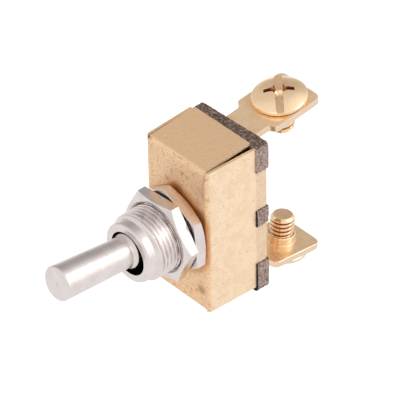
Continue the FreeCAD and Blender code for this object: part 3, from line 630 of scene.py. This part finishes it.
def round_y(section, angles, tilt=0.0, pivot=0.0):
    """Carry (along, radius) sections round the Y axis, then lean the result up by tilt about the pivot.

    A point is (radius sin angle, along, radius cos angle).
    """
    along, radius = section[..., 0] + 0 * angles, section[..., 1] + 0 * angles
    up = radius * np.cos(angles)
    back = along * math.cos(tilt) + up * math.sin(tilt)
    height = up * math.cos(tilt) - along * math.sin(tilt)
    return np.stack([radius * np.sin(angles), back + pivot, height], axis=-1)


def ease(value):
    """A step from 0 to 1 that starts and ends gently: 3v^2 - 2v^3."""
    value = np.clip(value, 0.0, 1.0)
    return value * value * (3 - 2 * value)


# %% [markdown]
# A thread is a groove whose place along the axis moves on by one pitch in each turn. So its depth at a point
# depends on one number, the turns made up to there: along / pitch - angle / full turn. The fraction tells
# crest from groove, and no helix has to be swept or cut.

# %% Threads
THREAD_PITCH = 0.794
CREST_EDGE = 0.66
ROOT_EDGE = 0.12


def thread_depth(along, angles, depth, start, end, fade):
    """How far the thread sinks at each point: full between start and end, and faded out beyond them.

    Saw is 0 in the middle of the groove and 1 in the middle of the crest.
    """
    turns = along / THREAD_PITCH - angles / (2 * math.pi)
    saw = np.abs(2 * (turns % 1.0) - 1)
    groove = ease((CREST_EDGE - saw) / (CREST_EDGE - ROOT_EDGE))
    inside = ease((along - start) / fade) * ease((end - along) / fade)
    return depth * groove * inside


# %% [markdown]
# The bushing is turned from bar: a smooth nose, a thread, a flange that stays inside the case, and a bore
# with a flared mouth. Two slots milled in the bore hold the lever's cross pin. There a point's radius is the
# bore's, or further out where the slot's flat side cuts deeper: half the slot's width divided by the sine
# of the angle from the slot's middle.

# %% Bushing
THREAD_RADIUS = 5.95
THREAD_END = -8.7
NOSE_END = -10.9
NOSE_RADIUS = 5.35
NOSE_STEP = 0.4
NOSE_ROUND = 0.55
BORE_RADIUS = 3.82
MOUTH_RADIUS = 3.92
MOUTH_DEPTH = 2.5
FLANGE_FRONT = 0.5
FLANGE_GAUGE = 1.2
PIN_SLOT_HALF = 0.84
PIN_SLOT_REACH = 4.9
BUSHING_THREAD_DEPTH = 0.34
BUSHING_COLUMNS = 192
SAME_RADIUS = 0.1
THREAD_ROWS, BORE_ROWS, PLAIN_ROWS = 0.06, 0.25, 1.0

flange_radius = box_mm("bushing")[1][0]
flange_back = FLANGE_FRONT + FLANGE_GAUGE
angles = circle(BUSHING_COLUMNS)
corners = np.array([
    (flange_back, BORE_RADIUS), (NOSE_END + MOUTH_DEPTH, BORE_RADIUS), (NOSE_END, MOUTH_RADIUS),
    (NOSE_END, NOSE_RADIUS), (THREAD_END - NOSE_STEP, NOSE_RADIUS), (THREAD_END, THREAD_RADIUS),
    (FLANGE_FRONT, THREAD_RADIUS), (FLANGE_FRONT, flange_radius), (flange_back, flange_radius),
])[:, None]
section = rounded(corners, [0.1, 0.3, 0.1, NOSE_ROUND, 0.12, 0.25, 0.02, 0.1, 0.1], steps=6)
section = np.concatenate([section, section[:1]])
on_thread = np.minimum(section[:-1, 0, 1], section[1:, 0, 1]) > NOSE_RADIUS + SAME_RADIUS
in_bore = np.maximum(section[:-1, 0, 1], section[1:, 0, 1]) < BORE_RADIUS + SAME_RADIUS
section = filled(section, np.where(on_thread, THREAD_ROWS, np.where(in_bore, BORE_ROWS, PLAIN_ROWS)))[:-1]
along, radius = section[..., 0] + 0 * angles, section[..., 1] + 0 * angles
grooved = thread_depth(along, angles, BUSHING_THREAD_DEPTH, THREAD_END + 0.1, -0.1, 0.5)
radius = np.where(radius > NOSE_RADIUS, np.maximum(radius - grooved, NOSE_RADIUS), radius)
slot_round = np.clip(PIN_SLOT_HALF**2 - np.clip(-PIVOT_DEPTH - along, 0.0, None) ** 2, 0.0, None)
slot_wall = np.sqrt(slot_round) / np.maximum(np.abs(np.cos(angles)), 1e-6)
slotted = np.clip(slot_wall, BORE_RADIUS, PIN_SLOT_REACH)
radius = np.where(section[..., 1] <= BORE_RADIUS + 0.001, slotted, radius)
points = round_y(np.stack([along, radius], axis=-1), angles)
finish = turned_nickel("bushing_nickel", bore=(MOUTH_RADIUS, NOSE_END))
make_piece("bushing_turned", [(points, True)], "housing", finish, "bushing")

# %% [markdown]
# The nuts are thin hexagons cut from bar. A hexagon's edge is at the distance flats / 2 divided by the
# cosine of the angle from the middle of its side, capped where the bar's corners are rounded. The bevel on
# one face is a cone, so it bites deeper at the corners and leaves the arcs that machined nuts show.

# %% Nuts
NUT_FLATS = 14.3
NUT_GAUGE = 2.2
NUT_BORE = 6.0
NUT_SINK = 0.45
NUT_FACE_INSET = 0.175
NUT_BEVEL = math.radians(25)
NUT_CORNER_CAP = 0.999
NUT_COLUMNS = 240


def nut_points(front, turn, bevel_in_front):
    """A hexagon nut's surface with its front face at a place along Y, turned by degrees from X."""
    share = np.linspace(0.0, 360.0, NUT_COLUMNS, endpoint=False)
    from_side = np.radians(share % 60.0 - 30.0)
    edge = np.minimum(NUT_FLATS / 2 / np.cos(from_side), NUT_FLATS / math.sqrt(3) * NUT_CORNER_CAP)
    face = NUT_FLATS / 2 - NUT_FACE_INSET
    fall = (edge - face) * math.tan(NUT_BEVEL)
    sink = NUT_BORE + NUT_SINK
    rows = [
        (NUT_SINK, NUT_BORE), (0.0, sink), (0.0, face), (fall, edge), (NUT_GAUGE, edge), (NUT_GAUGE, sink),
        (NUT_GAUGE - NUT_SINK, NUT_BORE),
    ]
    corners = np.stack([np.stack([depth + 0 * share, radius + 0 * share], axis=-1) for depth, radius in rows])
    section = rounded(corners, [0.05, 0.08, 0.12, 0.10, 0.10, 0.08, 0.05], steps=4)
    along = section[..., 0] if bevel_in_front else NUT_GAUGE - section[..., 0]
    angles = np.radians(90.0 - turn - share)
    return round_y(np.stack([along + front, section[..., 1]], axis=-1), angles)


for name, turn, bevel_in_front, slot in (
    ("nut_front", 4.2, True, "front_nut_nickel"), ("nut_rear", 35.4, False, "rear_nut_nickel"),
):
    shells = [(nut_points(box_mm(name)[0][1], turn, bevel_in_front), True)]
    finish = turned_nickel(name + "_nickel", rings=3.0, ring_depth=0.003)
    make_piece(name + "_cut", shells, name, finish, name)

# %% [markdown]
# The lever is one turning: a rod that widens a little towards its tip, a shoulder and collar that show in
# the bushing's mouth, a ball, and a bored tail. Its tip has the small pip where the lathe parted it off.
# It is made along Y and then leaned by the throw's angle.

# %% Lever
BALL_RADIUS = 3.75
COLLAR_RADIUS = 3.05
COLLAR_REACH = 6.9
SHOULDER_REACH = 7.55
ROOT_RADIUS = 2.72
TIP_RADIUS = 3.05
TIP_REACH = 21.68
TIP_ROUND = 0.42
PIP_RADIUS = 0.3
PIP_DEPTH = 0.25
TAIL_RADIUS = 2.4
TAIL_REACH = 5.5
TAIL_BORE = 1.6
TAIL_FLOOR = 1.25
LEVER_COLUMNS = 160

collar_angle = math.asin(COLLAR_RADIUS / BALL_RADIUS)
tail_angle = math.pi - math.asin(TAIL_RADIUS / BALL_RADIUS)
sweep = np.linspace(collar_angle, tail_angle, 28)
ball = np.stack([-BALL_RADIUS * np.cos(sweep), BALL_RADIUS * np.sin(sweep)], axis=-1)
rod = np.array([
    (PIP_DEPTH - TIP_REACH, 0.0), (PIP_DEPTH - TIP_REACH, PIP_RADIUS * 0.5), (-TIP_REACH, PIP_RADIUS),
    (-TIP_REACH, TIP_RADIUS), (-SHOULDER_REACH, ROOT_RADIUS), (-COLLAR_REACH, COLLAR_RADIUS),
])
tail = np.array([
    (TAIL_REACH, TAIL_RADIUS), (TAIL_REACH, TAIL_BORE), (TAIL_FLOOR, TAIL_BORE), (TAIL_FLOOR, 0.0),
])
corners = np.concatenate([rod, ball, tail])[:, None]
cuts = np.array([0.0, 0.05, 0.08, TIP_ROUND, 0.25, 0.12] + [0.05] * len(ball) + [0.15, 0.1, 0.1, 0.0])
section = filled(rounded(corners, cuts, steps=5), 0.6)
points = round_y(section, circle(LEVER_COLUMNS), tilt=LEVER_TILT, pivot=-PIVOT_DEPTH)
finish = turned_nickel("lever_nickel", tilt=LEVER_TILT, pivot=PIVOT_DEPTH)
make_piece("lever_turned", [(points, False)], "lever", finish, "lever")

# %% [markdown]
# Inside the lever's tail a coil spring pushes the plunger out. It is a helix: its middle moves on evenly as
# it goes round, and a small ring of points is carried along it.

# %% Plunger spring
SPRING_TILT = math.radians(6.4)
SPRING_RADIUS = 0.8
SPRING_WIRE = 0.14
SPRING_TURNS = 9
SPRING_PLAY = 0.02
PLUNGER_RADIUS = 1.56
PLUNGER_TIP_WALL = 1.9
SPRING_STEPS = 28

plunger_back = box_mm("plunger")[1][1]
plunger_tip = (plunger_back + PIVOT_DEPTH - PLUNGER_RADIUS) / math.cos(SPRING_TILT) + PLUNGER_RADIUS
coil_start = TAIL_FLOOR + SPRING_WIRE + SPRING_PLAY
coil_end = plunger_tip - PLUNGER_TIP_WALL - SPRING_WIRE - SPRING_PLAY
turn = np.linspace(0.0, 2 * math.pi * SPRING_TURNS, SPRING_TURNS * SPRING_STEPS + 1)
turn = np.concatenate([turn[:1], turn, turn[-1:]])[:, None]
wire = np.full_like(turn, SPRING_WIRE)
wire[0], wire[-1] = 0.0, 0.0
around = circle(10)
along = coil_start + (coil_end - coil_start) * turn / turn[-1] + wire * np.sin(around)
coil = np.stack([along, SPRING_RADIUS + wire * np.cos(around)], axis=-1)
points = round_y(coil, turn, tilt=SPRING_TILT, pivot=-PIVOT_DEPTH)
finish = plain_solid("spring_wire", rgb(150, 150, 155), rgb(120, 120, 126), 0.3, 1.0)
spring = make_piece("spring_wound", [(points, False)], "lever", finish, "plunger_spring")
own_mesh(spring)

# %% [markdown]
# A terminal is a strip of brass, folded at its foot and drawn down round the screw's hole into a threaded
# boss. It is made flat first: columns run out from the hole to each point of the blank's outline, and rows
# go over the top face, round the edge, back under to the boss, down it and up the hole. Then it is folded
# by a formula.

# %% Terminals
TERMINAL_GAUGE = 1.2
TERMINAL_TILT = math.radians(6.3)
TERMINAL_BEND = 1.6
TOP_CORNER = 12.74
BOTTOM_CORNER = 16.05
FOOT_END = 4.9
NECK_HALF = 3.5
BLADE_HALF = 4.8
SHOULDER_START = 4.3
SHOULDER_END = 5.0
BLADE_REACH = 15.0
BLADE_CORNER = 1.5
BOSS_RADIUS = 2.42
BOSS_HEIGHT = 1.5
BOSS_ROOT = 0.2
SCREW_PLACE = 10.12
SCREW_HOLE = 2.12
BURR = 0.14

base_back = box_mm("base_plate")[1][1]
bend_start = TERMINAL_BEND * math.tan(math.pi / 4 - TERMINAL_TILT / 2)
bend_angle = math.pi / 2 - TERMINAL_TILT
bend_middle = TERMINAL_BEND - TERMINAL_GAUGE / 2


def on_terminal(points, corner, side):
    """Put points of a level blade where the tilted blade is. Side -1 turns them over for the lower one."""
    across, back, up = points[..., 0], points[..., 1], points[..., 2]
    leaned_back = back * math.cos(TERMINAL_TILT) - up * math.sin(TERMINAL_TILT) + base_back
    leaned_up = back * math.sin(TERMINAL_TILT) + up * math.cos(TERMINAL_TILT) + corner
    return np.stack([side * across, leaned_back, side * leaned_up], axis=-1)


def folded(flat):
    """Fold a flat strip of (across, along, depth) down at its foot.

    Ahead of the bend nothing changes. In the bend, length along the strip's middle becomes an angle about
    the bend's centre, and past it the strip runs straight on.
    """
    across, along, depth = flat[..., 0], flat[..., 1], flat[..., 2]
    turn = np.clip((bend_start - along) / bend_middle, 0.0, bend_angle)
    ahead = np.clip(along - bend_start, 0.0, None)
    past = np.clip(bend_start - bend_middle * bend_angle - along, 0.0, None)
    radius = TERMINAL_BEND - depth
    back = bend_start + ahead - radius * np.sin(turn) - past * math.cos(bend_angle)
    up = radius * np.cos(turn) - TERMINAL_BEND - past * math.sin(bend_angle)
    return np.stack([across, back, up], axis=-1)


def terminal_points(corner, side):
    """One terminal's surface, as columns round its screw hole and rows round its section."""
    end = bend_start - bend_middle * bend_angle - (corner - FOOT_END - bend_start)
    right = np.array([
        (NECK_HALF, end), (NECK_HALF, SHOULDER_START), (BLADE_HALF, SHOULDER_END), (BLADE_HALF, BLADE_REACH),
    ])
    left = right[::-1] * (-1, 1)
    cuts = [0.2, 0.55, 0.55, BLADE_CORNER]
    blank = rounded(np.concatenate([right, left])[:, None], cuts + cuts[::-1], steps=6)
    blank = filled(np.concatenate([blank, blank[:1]]), 0.3)[:-1, 0]
    ahead = unit(np.roll(blank, -1, axis=0) - np.roll(blank, 1, axis=0))
    inward = np.stack([-ahead[:, 1], ahead[:, 0]], axis=-1)
    centre = np.array([0.0, SCREW_PLACE])
    out = unit(blank - centre)

    def rows(start, way, table):
        """Rows that lie at start and a reach along way, for each pair of a reach and a depth."""
        return [np.column_stack([start + way * reach, np.full(len(blank), depth)]) for reach, depth in table]

    mouth = [(SCREW_HOLE, 0.12), (SCREW_HOLE + 0.1, 0.0)]
    rim = [(BURR, 0.0), (0.04, 0.04), (0.0, BURR), (0.0, TERMINAL_GAUGE - 0.08), (0.08, TERMINAL_GAUGE)]
    quarter = np.linspace(0.0, math.pi / 2, 6)
    flare = BOSS_ROOT * (1 - np.stack([np.sin(quarter), np.cos(quarter)], axis=-1))
    low = TERMINAL_GAUGE + BOSS_HEIGHT
    boss = [*(flare + (BOSS_RADIUS, TERMINAL_GAUGE)), (BOSS_RADIUS, low - 0.16)]
    boss += [(BOSS_RADIUS - 0.05, low - 0.05), (BOSS_RADIUS - 0.14, low)]
    boss += [(SCREW_HOLE + 0.05, low - 0.04), (SCREW_HOLE, low - 0.12)]
    corners = np.stack(rows(centre, out, mouth) + rows(blank, inward, rim) + rows(centre, out, boss))
    farthest = np.argmax(np.linalg.norm(blank - centre, axis=-1))
    order = np.roll(np.arange(len(blank)), -farthest)
    return on_terminal(folded(filled(corners[:, order], 0.22)), corner, side)


for name, corner, side in (("terminal_top", TOP_CORNER, 1), ("terminal_bottom", BOTTOM_CORNER, -1)):
    finish = bright_brass(name + "_brass", gloss=(0.2, 0.32), streaks=(0.4, 3.0, 1.0), metallic=0.75)
    shells = [(terminal_points(corner, side), True)]
    make_piece(name + "_strip", shells, "housing", finish, name)

# %% [markdown]
# The screw's head is a low dome with a driver slot, and a cross recess and socket punched into it. It is
# made in slices that run along the slot. Each is a closed loop over the dome and back under it, and they
# lie close together at the slot's walls, so the walls come out steep. The height is the dome's, or that of
# the cut's floor there. The threaded shank is turned and runs up into the head.

# %% Screws
SCREW_RADIUS = 2.083
SHANK_LENGTH = 6.4
SCREW_POINT = 0.45
SCREW_THREAD_DEPTH = 0.33
HEAD_PLAY = 0.1
HEAD_RADIUS = 4.7
HEAD_EDGE = 0.2
HEAD_RIM = 0.72
HEAD_CROWN = 2.19
RIM_DROP, RIM_SPAN = 0.06, 0.08
SLOT_HALF = 0.6
SLOT_FLOOR = 0.7
RECESS_HALF = 0.44
RECESS_SPAN_HALF = 2.5
RECESS_FLOOR = 0.45
RECESS_SLOPE = 0.25
RECESS_TAPER = 0.03
RECESS_FLARE, FLARE_SPAN = 0.42, 0.3
SOCKET_RADIUS = 1.15
SOCKET_FLOOR = 0.1
SOCKET_RISE = 0.7
LIP = 0.07
SLICE_STEP = 0.11
MIDDLE_HALF, MIDDLE_STEP = 1.5, 0.07
SHANK_COLUMNS = 96


def dome_height(radius):
    """The height of the head's dome, which is part of a ball, before anything is cut into it."""
    rise = HEAD_CROWN - HEAD_RIM
    sphere = (HEAD_RADIUS**2 + rise**2) / (2 * rise)
    return HEAD_CROWN - sphere + np.sqrt(sphere**2 - radius**2)


def wall(distance):
    """A cut's side: 0 inside the cut, 1 outside, and steep across its lip, where the distance is 0."""
    return ease((distance + LIP) / (2 * LIP))


def head_height(along, across):
    """The head's upper surface: a dome, cut by a slot, two sloping recess arms and a round socket."""
    radius = np.hypot(along, across)
    dome = dome_height(radius) - RIM_DROP * np.exp(-(HEAD_RADIUS - radius) / RIM_SPAN)
    reach = np.abs(across)
    height = SLOT_FLOOR + (dome - SLOT_FLOOR) * wall(reach - SLOT_HALF)
    flare = RECESS_FLARE * np.exp(-np.clip(reach - SLOT_HALF, 0.0, None) / FLARE_SPAN)
    half = RECESS_HALF + flare - RECESS_TAPER * reach
    floor = RECESS_FLOOR + RECESS_SLOPE * reach
    arm = np.maximum(wall(np.abs(along) - half), wall(reach - RECESS_SPAN_HALF))
    height = np.minimum(height, floor + (dome - floor) * arm)
    bowl = SOCKET_FLOOR + SOCKET_RISE * (radius / SOCKET_RADIUS) ** 2
    return np.where(radius < SOCKET_RADIUS, np.minimum(height, bowl), height)


def lines(limit, marks, step):
    """Places from -limit to limit, a step apart, with extra ones close to each mark."""
    near = LIP * np.array([-1.6, -1.0, -0.5, 0.0, 0.5, 1.0, 1.6])
    extra = np.concatenate([mark + near for mark in marks] + [-mark - near for mark in marks])
    even = np.linspace(-limit, limit, int(2 * limit / step) + 1)
    return np.unique(np.round(np.concatenate([even, extra]), 5))


def head_points():
    """The screw head's closed surface in its own frame, with its underside at height 0."""
    slices = lines(HEAD_RADIUS * 0.97, (SLOT_HALF, RECESS_SPAN_HALF), SLICE_STEP)
    ends = HEAD_RADIUS * np.sin(np.linspace(math.asin(0.975), math.pi / 2, 9))
    slices = np.concatenate([-ends[::-1], slices, ends])
    chord = np.sqrt(np.clip(HEAD_RADIUS**2 - slices**2, 0.0, None))[:, None]
    inner = lines(MIDDLE_HALF, (RECESS_HALF,), MIDDLE_STEP)
    outer = np.linspace(0.0, 1.0, 34)[1:]
    fixed = np.minimum(MIDDLE_HALF, 0.5 * chord)
    middle = inner[None] / MIDDLE_HALF * fixed
    right = fixed + (chord - fixed) * outer
    along = np.concatenate([-right[:, ::-1], middle, right], axis=1)
    across = slices[:, None] + 0 * along
    top = np.stack([along, across, head_height(along, across)], axis=-1)
    shrink = (HEAD_RADIUS - HEAD_EDGE) / HEAD_RADIUS
    side = top[:, ::-1] * (1, 1, 0) + (0, 0, HEAD_EDGE)
    under = top[:, ::-1] * (shrink, shrink, 0)
    return np.concatenate([top, side[:, :1], under, side[:, -1:]], axis=1)


def shank_points():
    """The threaded shank, from just inside the head to its flat, chamfered end."""
    corners = np.array([
        (HEAD_EDGE, 0.0), (HEAD_EDGE, SCREW_RADIUS), (SCREW_POINT - SHANK_LENGTH, SCREW_RADIUS),
        (-SHANK_LENGTH, SCREW_RADIUS - SCREW_POINT), (-SHANK_LENGTH, 0.0),
    ])[:, None]
    section = filled(rounded(corners, [0.0, 0.02, 0.12, 0.10, 0.0], steps=4), 0.05)
    angles = circle(SHANK_COLUMNS)
    along, radius = section[..., 0] + 0 * angles, section[..., 1] + 0 * angles
    groove = thread_depth(along, angles, SCREW_THREAD_DEPTH, SCREW_POINT * 0.6 - SHANK_LENGTH, 0.0, 0.35)
    radius = np.where(radius > SCREW_RADIUS - SCREW_POINT, radius - groove, radius)
    return np.stack([radius * np.cos(angles), radius * np.sin(angles), along], axis=-1)


def turned_about_z(points, turn):
    """The points turned by an angle about Z."""
    across, back = points[..., 0], points[..., 1]
    cosine, sine = math.cos(turn), math.sin(turn)
    return np.stack([cosine * across - sine * back, sine * across + cosine * back, points[..., 2]], axis=-1)


def add_dirt(item, corner, side, turn):
    """Mark where brown has settled on a screw: 1 in the recess arms and in the thread's grooves, 0 elsewhere.

    Each point goes back to the screw's own frame: out from the base, level again, off its seat, unturned.
    """
    places = np.empty(len(item.data.vertices) * 3)
    item.data.vertices.foreach_get("co", places)
    across, back, up = (places.reshape(-1, 3) / MM).T
    cosine, sine = math.cos(TERMINAL_TILT), math.sin(TERMINAL_TILT)
    back, up = back - base_back, side * up - corner
    back, up = back * cosine + up * sine - SCREW_PLACE, up * cosine - back * sine - HEAD_PLAY
    flat = turned_about_z(np.stack([side * across, back, up], axis=-1), -turn)
    along, beside = np.abs(flat[:, 0]), np.abs(flat[:, 1])
    radius = np.hypot(along, beside)
    sunk = dome_height(radius) - up
    in_arm = ease((sunk - 0.12) / 0.4) * ease((beside - SLOT_HALF) / 0.15) * (radius < RECESS_SPAN_HALF + 0.2)
    above_point = up + SHANK_LENGTH - SCREW_POINT
    in_groove = ease((SCREW_RADIUS - radius) / SCREW_THREAD_DEPTH) * ease(above_point / 0.2)
    dirt = np.where(up > HEAD_EDGE + 0.05, in_arm, np.where(up < 0, in_groove, 0.0))
    item.data.attributes.new("dirt", "FLOAT", "POINT").data.foreach_set("value", dirt.astype(np.float32))
    print(item.name, "points with dirt:", int((dirt > 0.5).sum()), "of", len(dirt))


for name, corner, side, turn in (("top", TOP_CORNER, 1, -41.0), ("bottom", BOTTOM_CORNER, -1, 24.0)):
    turn = math.radians(turn)
    shells = []
    for points in (head_points(), shank_points()):
        seated = turned_about_z(points, turn) + (0.0, SCREW_PLACE, HEAD_PLAY)
        shells.append((on_terminal(seated, corner, side), False))
    finish = bright_brass(f"screw_{name}_brass", gloss=(0.1, 0.2), metallic=0.88, dirt="dirt")
    replaced = f"terminal_screw_{name}"
    screw = make_piece(f"screw_{name}_machined", shells, f"screw_{name}", finish, replaced)
    add_dirt(screw, corner, side, turn)

# %% [markdown]
# The base's sheared edges show round the case as a dark, torn band, darker still with painted shade where it
# faces up, with a tab between each pair of crimps.
# The surface runs from the middle of the front face out to the outline, across the edge and back in on the
# rear face. Only the edge rows are roughened, by sine waves in random directions, the same on every run.

# %% Base plate
BASE_CORNER = 0.9
BASE_NOTCH = 7.22
CRIMP_LOW = 1.65
CRIMP_HIGH = 9.55
CRIMP_SEAT = 6.165
CRIMP_SINK = 0.4
BASE_SLANT = 0.6
BASE_SOFT = 0.09
BASE_TEAR = 0.05
TEAR_SIZE = 1.1
TEAR_SEED = 7
TEAR_WAVES = 28


def ripple(points, size, seed):
    """Smooth noise of about -1 to 1: sine waves about size long, in random directions, added up."""
    chance = np.random.default_rng(seed)
    heading = unit(chance.normal(size=(TEAR_WAVES, 3)))
    length = size * chance.uniform(0.5, 1.7, TEAR_WAVES)
    phase = chance.uniform(0.0, 2 * math.pi, TEAR_WAVES)
    turns = points @ (2 * math.pi * heading / length[:, None]).T + phase
    return np.sin(turns).sum(axis=-1) / math.sqrt(TEAR_WAVES)


def base_points():
    """The base's surface: columns round its outline, and rows from face to face across the edge.

    Behind each notch the rear face is sunk as far in as the crimp's lip reaches.
    """
    low, high = box_mm("base_plate")
    tab, top, bottom = high[0] - BASE_TEAR, high[2] - BASE_TEAR, low[2] + BASE_TEAR
    edge = np.array([
        (tab, CRIMP_LOW), (BASE_NOTCH, CRIMP_LOW), (BASE_NOTCH, CRIMP_HIGH), (tab, CRIMP_HIGH), (tab, top),
    ])
    upper = np.concatenate([edge, edge[::-1] * (-1, 1)])
    lower = upper[::-1] * (1, -1)
    lower[:, 1] = np.where(lower[:, 1] == -top, bottom, lower[:, 1])
    upper[len(edge), 1] -= BASE_SLANT
    cuts = [0.12, 0.05, 0.05, 0.12, BASE_CORNER]
    outline = rounded(np.concatenate([upper, lower])[:, None], (cuts + cuts[::-1]) * 2, steps=6)
    outline = filled(np.concatenate([outline, outline[:1]]), 0.16)[:-1, 0]
    gauge = high[1] - low[1]
    height = np.abs(outline[:, 1])
    in_notch = (height > CRIMP_LOW + 0.03) & (height < CRIMP_HIGH - 0.03)
    seat_depth = np.where(in_notch, gauge - CRIMP_SINK, gauge)

    def row(shape, depth):
        """An outline at a depth behind the base's front face, which may differ from point to point."""
        return np.stack([shape[:, 0], low[1] + depth * np.ones(len(shape)), shape[:, 1]], axis=-1)

    def drawn_in(reach):
        """The outline, moved in to at most reach from the middle, and a little from the top and bottom."""
        return np.clip(outline, (-reach, bottom + 0.4), (reach, top - BASE_SLANT - 0.4))

    inset = outline * (1 - BASE_SOFT * 0.6 / np.linalg.norm(outline, axis=-1, keepdims=True))
    depths = np.linspace(BASE_SOFT, gauge - BASE_SOFT, 14)
    front = [row(drawn_in(BASE_NOTCH - 0.3) * share, 0.0) for share in (0.0, 0.35, 0.7, 1.0)]
    sheared = [row(inset, 0.0)] + [row(outline, np.minimum(depth, seat_depth)) for depth in depths]
    sheared += [row(inset, seat_depth)]
    rear = [row(drawn_in(reach), seat_depth) for reach in (BASE_NOTCH - 0.3, CRIMP_SEAT + 0.01)]
    rear += [row(drawn_in(CRIMP_SEAT - 0.01) * share, gauge) for share in (1.0, 0.7, 0.35, 0.0)]
    points = np.stack(front + sheared + rear)
    edge_share = np.repeat([0.0, 1.0, 0.0], [len(front), len(sheared), len(rear)])
    tear = BASE_TEAR * ripple(points, TEAR_SIZE, TEAR_SEED) * edge_share[:, None]
    tear = np.clip(tear, -2 * BASE_TEAR, BASE_TEAR)
    return points + unit(points * (1, 0, 1)) * tear[..., None]


finish = fibre("base_fibre_sheared", FIBRE_DARK, FIBRE_MID, FIBRE_LIGHT, strip=FIBRE_SHADED_TOP)
make_piece("base_punched", [(base_points(), False)], "housing", finish, "base_plate")

# %% [markdown]
# The case keeps the solid's exact folds. A copy of its mesh is merged, and a bevel softens only the edges
# where the sheet was cut, which gives each of them the thin bright line of a tumbled edge.

# %% Case
CASE_EDGE = 0.07

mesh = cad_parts["case"].data.copy()
mesh.name = "case_folded"
case = finish_piece("case_folded", mesh, "housing", case_brass(), "case", join_flat=True)
bevel = case.modifiers.new("edges", "BEVEL")
bevel.width = CASE_EDGE * MM
bevel.segments = 2
bevel.limit_method = "ANGLE"
bevel.angle_limit = SHARP_ANGLE

# %% Finish
scene.view_settings.view_transform = "Standard"
